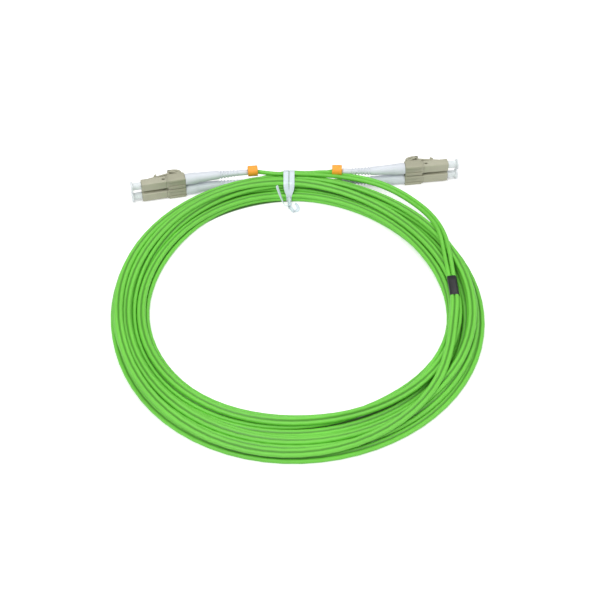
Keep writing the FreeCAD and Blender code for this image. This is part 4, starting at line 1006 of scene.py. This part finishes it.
# %% Mould the four boots
AXIS_STEPS = 24
BOOT_OUTLINE = [(-0.05, 1.95), (0.1, 2.72), (0.3, 2.8), (5.0, 2.76), (5.5, 2.68), (5.9, 2.56), (9, 2.42),
                (13, 2.24), (16.6, 2.08), (17.0, 1.9), (17.3, 1.62), (18, 1.56), (26.3, 1.25),
                (26.8, 1.38), (27.2, 1.42), (30.5, 1.4), (30.8, 1.34), (30.9, 1.24), (30.86, 1.1),
                (30.5, 1.06), (29, 1.06)]
for side in ends:
    for level in LEVELS:
        stops = []
        for distance, _ in BOOT_OUTLINE:
            place, along = on_boot(side, level, distance)
            stops.append((at(*place), along))
        body = turned(stops, [r for _, r in BOOT_OUTLINE])
        axis = [at(*on_boot(side, level, RIB_START + RIB_PITCH * (RIB_COUNT - 1) * k / AXIS_STEPS)[0])
                for k in range(AXIS_STEPS + 1)]
        ribs = ribs_along(axis, {"Count": RIB_COUNT, "First radius": RIB_FIRST, "Last radius": RIB_LAST,
                                 "Thickness": RIB_THICKNESS, "Material": boot_white})
        boot = piece(f"{side}_{level}_moulded_boot", joined("boot", body, ribs), boot_white, 50)
        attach(boot, "cord")
        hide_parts(f"{side}_{level}_boot")
        print(boot.name, len(boot.data.vertices), "points")

# %% [markdown]
# ## Dust caps
#
# A cap is a thin milky tube with a collar, pushed over each ceramic ferrule. It is turned like a part
# on a lathe, from one outline, and a bore is left in it so that it can really be pulled off.

# %% Turn the caps
CAP_BORE, CAP_DEPTH = 0.685, 4.2
CAP_OUTLINE = [(21.6 + CAP_DEPTH, CAP_BORE), (21.6, CAP_BORE), (21.6, 1.72), (21.68, 1.85), (24.0, 1.8),
               (25.5, 1.8), (25.65, 1.95), (25.7, 2.55), (25.82, 2.7), (26.45, 2.7), (26.6, 2.55),
               (26.6, 1.3), (26.45, 1.1), (26.3, 0.6)]
for side in ends:
    for level in LEVELS:
        direction = ends[side][0].col[0]
        stops = [(at(*plug_point(side, level, x, 0, 0)), direction) for x, _ in CAP_OUTLINE]
        shell = turned(stops, [r for _, r in CAP_OUTLINE], 32)
        cap = piece(f"{side}_{level}_turned_cap", shell, cap_clear, 45)
        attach(cap, f"{side}_{level}_cap")
        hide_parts(f"{side}_{level}_dust_cap")
print("caps bored to", CAP_BORE * 2, "mm")

# %% [markdown]
# ## Marker rings
#
# The orange ring tells one strand of the pair from the other. It is a snap-on ring: a thick C with a
# slot, opened by thumb and pushed over the strand. Its outline is drawn once and swept straight.

# %% Form the marker rings
RING_GAP, RING_LENGTH, RING_CHAMFER = 0.1, 4.8, 0.18
RING_RADIUS, RING_BORE, RING_OFFSET, RING_SLOT = 2.6, 1.15, 0.6, 0.6


def ring_outline(outer, bore):
    """A thick C, open towards minus y, whose bore sits off the middle."""
    out_half = math.degrees(math.asin(RING_SLOT / 2 / outer))
    in_half = math.degrees(math.asin(RING_SLOT / 2 / bore))
    points = [(outer * math.cos(math.radians(a)), RING_OFFSET + outer * math.sin(math.radians(a)))
              for a in np.linspace(-90 + out_half, 270 - out_half, 30)]
    return points + [(bore * math.cos(math.radians(a)), bore * math.sin(math.radians(a)))
                     for a in np.linspace(270 - in_half, -90 + in_half, 22)]


for side in ends:
    start, along = on_boot(side, "upper", BOOT_LENGTH)
    thick = (Vector((0, 0, 1)) - along * along.z).normalized()
    across = thick.cross(along)
    loops = [section_at(start + along * (step + RING_GAP), across, thick,
                        ring_outline(RING_RADIUS - inset, RING_BORE + inset * 0.5))
             for step, inset in ((0, RING_CHAMFER), (RING_CHAMFER, 0), (RING_LENGTH - RING_CHAMFER, 0),
                                 (RING_LENGTH, RING_CHAMFER))]
    ring_piece = piece(f"{side}_snap_ring", lofted("ring", loops), marker_orange, 40)
    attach(ring_piece, "cord")
    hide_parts(f"{side}_marker_ring")
print("rings", RING_LENGTH, "mm long")

# %% [markdown]
# ## The tie
#
# A milky plastic strip goes twice round the bundle, and its ends are twisted together on the inner
# side. A strip under pull takes the shortest way round what it holds, so its line is the hull of the
# strands' circles at that angle, a little larger, and the two rounds lean together at the twist.

# %% The line round the bundle
TIE_X, TIE_LIFT = -4.4, 0.3
STRIP_THICKNESS = 0.35
FLOOR_AIR = 0.02
CIRCLE_STEPS, TIE_STEPS = 24, 72


def hull(points):
    """The convex outline of points in a plane, in order."""
    points = sorted(points)

    def half(points):
        kept = []
        for p in points:
            while len(kept) > 1 and ((kept[-1][0] - kept[-2][0]) * (p[1] - kept[-2][1])
                                     - (kept[-1][1] - kept[-2][1]) * (p[0] - kept[-2][0])) <= 0:
                kept.pop()
            kept.append(p)
        return kept[:-1]

    return half(points) + half(points[::-1])


held_circles = [tuple(coil_strands[k, strand]) for k in np.where(near_tie)[0] for strand in range(2)]
held_circles += [tuple(lane[0]) for lane in strands_beside(np.array([TIE_ANGLE]))]
for route in (routes["left_upper"], routes["left_lower"]):
    held_circles.append((route[2].y, (route[2].z + route[3].z) / 2))
hold = STRAND_RADIUS + TIE_LIFT
around = [(r + hold * math.cos(t), z + hold * math.sin(t))
          for r, z in held_circles for t in np.linspace(0, 2 * math.pi, CIRCLE_STEPS + 1)]
outline = [(r, max(z, STRIP_THICKNESS / 2 + FLOOR_AIR)) for r, z in hull(around)]
lengths = [math.dist(a, b) for a, b in zip(outline, outline[1:] + outline[:1])]
total = sum(lengths)
tie_line = []
for k in range(TIE_STEPS):
    target, i = total * k / TIE_STEPS, 0
    while target > lengths[i]:
        target -= lengths[i]
        i += 1
    a, b = outline[i], outline[(i + 1) % len(outline)]
    t = target / lengths[i]
    tie_line.append((a[0] + (b[0] - a[0]) * t, a[1] + (b[1] - a[1]) * t))
for _ in range(2):
    tie_line = [((a[0] + 2 * b[0] + c[0]) / 4, (a[1] + 2 * b[1] + c[1]) / 4)
                for a, b, c in zip(tie_line[-1:] + tie_line[:-1], tie_line, tie_line[1:] + tie_line[:1])]
print(f"tie goes {total:.1f} mm round {len(held_circles)} strand places")

# %% The two rounds of strip
HALF_GAP, HALF_GAP_AT_TWIST = 1.42, 0.45
HALF_STRIP, HALF_STRIP_AT_TWIST = 1.28, 0.75
TWIST_REACH, TWIST_TOP = 4.5, 9.0
LEAN_RADIAL, LEAN_UPWARD = 5, 6

inner_edge = min(r for r, z in tie_line)
meshes = []
for lean in (-1, 1):
    path, half_widths = [], []
    for r, z in tie_line:
        low = ease((inner_edge + TWIST_REACH - r) / LEAN_RADIAL) * ease((TWIST_TOP - z) / LEAN_UPWARD)
        path.append(Vector((TIE_X + lean * (HALF_GAP * (1 - low) + HALF_GAP_AT_TWIST * low), r, z)))
        half_widths.append(HALF_STRIP * (1 - low) + HALF_STRIP_AT_TWIST * low)
    loops = []
    for i, point in enumerate(path):
        along = (path[(i + 1) % len(path)] - path[i - 1]).normalized()
        side = (Vector((1, 0, 0)) - along * along.x).normalized()
        w, h = half_widths[i], STRIP_THICKNESS / 2
        crown = [(-w, -h * 0.4), (-w * 0.85, -h), (w * 0.85, -h), (w, -h * 0.4), (w, h * 0.3),
                 (w * 0.8, h), (0, h * 0.75), (-w * 0.8, h), (-w, h * 0.3)]
        loops.append(section_at(point, side, side.cross(along), crown))
    meshes.append(lofted("round", loops, closed=True))

# %% The twist and the loose ends
TWIST_TURNS, TWIST_LENGTH, TWIST_RADIUS, TWIST_STEPS = 0.9, 4.2, 0.55, 12
TWIST_LOWEST = 0.7
END_WIDTH, TIP_WIDTH, END_THICKNESS = 1.7, 1.4, 0.34
END_FACING = Vector((0.6, 0.5, -0.3))
LOOSE_ENDS = {-1: [(-5.9, 63.2, 2.6), (-7.4, 64.2, 5.4), (-8.6, 65.4, 8.4), (-9.6, 66.6, 11.0),
                   (-10.2, 67.4, 12.9)],
              1: [(-2.6, 62.2, 1.0), (-0.9, 62.4, 0.7), (0.2, 63.8, 1.0), (-0.2, 65.6, 1.8),
                  (-1.6, 66.2, 2.6)]}
root = Vector((TIE_X, inner_edge - 0.1, 3.6))
twist_way = Vector((0.05, -0.42, -0.5)).normalized()
level_side = Vector((1, 0, 0))
other_side = twist_way.cross(level_side).normalized()


def ribbon(points, sides, widths):
    """A narrow strip through points, in millimetres, whose width lies along the given sides."""
    loops = []
    for i, point in enumerate(points):
        along = (points[min(i + 1, len(points) - 1)] - points[max(i - 1, 0)]).normalized()
        side = (sides[i] - along * sides[i].dot(along)).normalized()
        w, h = widths[i] / 2, END_THICKNESS / 2
        strip = [(-w, -h * 0.5), (-w * 0.8, -h), (w * 0.8, -h), (w, -h * 0.5), (w, h * 0.5),
                 (w * 0.8, h), (-w * 0.8, h), (-w, h * 0.5)]
        loops.append(section_at(point, side, side.cross(along), strip))
    return lofted("ribbon", loops)


for lean, end in LOOSE_ENDS.items():
    route, sides = [], []
    for k in range(TWIST_STEPS + 1):
        share = k / TWIST_STEPS
        turn = math.pi * 2 * TWIST_TURNS * share + (0 if lean < 0 else math.pi)
        spoke = level_side * math.cos(turn) + other_side * math.sin(turn)
        spot = root + twist_way * (TWIST_LENGTH * share) + spoke * TWIST_RADIUS
        route.append(Vector((spot.x, spot.y, max(spot.z, TWIST_LOWEST))))
        sides.append(spoke.cross(twist_way))
    for p in points_along("tie end", [at(*route[-1])] + [at(*p) for p in end], 4)[1:]:
        route.append(p * 1000 + ZERO_SHIFT)
        sides.append(sides[-1].lerp(END_FACING, 0.15).normalized())
    widths = [END_WIDTH] * (len(route) - 1) + [TIP_WIDTH]
    meshes.append(ribbon(route, sides, widths))
tie = piece("plastic_tie", joined("tie", *meshes), tie_milky, 50)
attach(tie, "cord")
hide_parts("twist_tie")

# %% [markdown]
# ## Plugs
#
# The plugs come out of a mould, so no edge on them is knife sharp. The measured solids have the right
# faces but sharp edges. Each is copied, its loose triangles are merged, and a narrow bevel is cut, so
# that the edges catch the light as on the real part.

# %% Round the moulded edges
SAME_POINT = 0.000002
SAME_PLANE, BEVEL_ANGLE = math.radians(1.5), math.radians(35)
SOFT_NODES = {"front_housing": (plug_beige, "plug_plastic", 0.12),
              "latch_lever": (latch_beige, "plug_plastic", 0.08),
              "rear_body": (plug_beige, "plug_plastic", 0.08),
              "duplex_clip": (clip_beige, "clip_plastic", 0.16),
              "clip_trigger": (clip_beige, "clip_plastic", 0.1)}


def rounded_copy(name, source, width):
    """The node's shape with its edges rounded."""
    solid = bmesh.new()
    solid.from_mesh(source.data)
    bmesh.ops.remove_doubles(solid, verts=solid.verts, dist=SAME_POINT)
    bmesh.ops.dissolve_limit(solid, angle_limit=SAME_PLANE, verts=solid.verts, edges=solid.edges)
    mesh = bpy.data.meshes.new(name)
    solid.to_mesh(mesh)
    solid.free()
    obj = bpy.data.objects.new(name, mesh)
    bpy.context.scene.collection.objects.link(obj)
    bevel = obj.modifiers.new("soft edges", "BEVEL")
    bevel.width = width * MM
    bevel.segments = 2
    bevel.limit_method = "ANGLE"
    bevel.angle_limit = BEVEL_ANGLE
    result = evaluated_mesh(obj)
    bpy.data.meshes.remove(mesh)
    return result


softened = 0
for node_name in frame["nodes"]:
    for ending, (material, slot_name, width) in SOFT_NODES.items():
        if node_name.endswith(ending):
            source = bpy.data.objects[node_name]
            soft = piece(f"{node_name}_moulded", rounded_copy(node_name, source, width), material, 30)
            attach(soft, source["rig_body"])
            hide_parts(node_name)
            softened += 1
print("softened", softened, "moulded parts")

# %% [markdown]
# The measured trigger has a plain, straight finger lever. On the real clip the lever that presses both
# latches is an arch, so one is laid over it: it rises steeply from the hinge, bows over the latches'
# free ends and turns down in a lip. Its side view is one outline, and a width makes it solid.

# %% Bow the two finger levers
LEVER_WIDTH, LEVER_BEVEL = 9.2, 0.22
LEVER_OUTLINE = [(0.9, 3.3), (0.86, 3.9), (1.05, 4.9), (1.7, 5.9), (2.8, 6.6), (4.2, 7.0), (5.8, 7.15),
                 (7.0, 7.05), (7.75, 6.75), (7.8, 5.9), (7.1, 5.88), (6.9, 6.15), (5.8, 6.2),
                 (4.5, 6.05), (3.4, 5.6), (2.6, 4.9), (2.15, 4.0), (1.85, 3.3), (1.3, 3.02)]
for side in ends:
    turn, rear, _ = ends[side]
    cheeks = [[at(*(rear + turn @ Vector((x, half * LEVER_WIDTH / 2, z)))) for x, z in LEVER_OUTLINE]
              for half in (-1, 1)]
    mesh = lofted("lever", cheeks)
    shell = bmesh.new()
    shell.from_mesh(mesh)
    rims = [e for e in shell.edges if len({f for f in e.link_faces if len(f.verts) > 4}) == 1]
    bmesh.ops.bevel(shell, geom=rims, offset=LEVER_BEVEL * MM, segments=2, affect="EDGES", profile=0.6)
    shell.to_mesh(mesh)
    shell.free()
    lever = piece(f"{side}_arched_lever", mesh, clip_beige, 35)
    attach(lever, f"{side}_trigger")
    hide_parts(f"{side}_clip_trigger")
print("levers", LEVER_WIDTH, "mm wide")

# %% [markdown]
# The small parts inside the plugs keep their measured solids. They only need their own finish:
# white ceramic, plated metal, spring steel, and the pale coating of the fibre.

# %% Finish the inner parts
INNER_FINISHES = {"ferrule": ferrule_ceramic, "ferrule_holder": holder_metal,
                  "ferrule_spring": spring_steel, "crimp_sleeve": crimp_metal, "fibre": fibre_coat}
for node_name in frame["nodes"]:
    for ending, material in INNER_FINISHES.items():
        if node_name.endswith("_" + ending):
            solid = bpy.data.objects[node_name]
            solid.data.materials.clear()
            solid.data.materials.append(material)
print("finished the inner parts")

# %% [markdown]
# ## The cord's lengths
#
# The lengths here are the real ones: about 4.6 m of twin cord wound in the coil, and about 15 cm of
# single strand at each plug.

# %% Count the coil's faces
print("cord coil", len(coil.data.polygons), "faces")
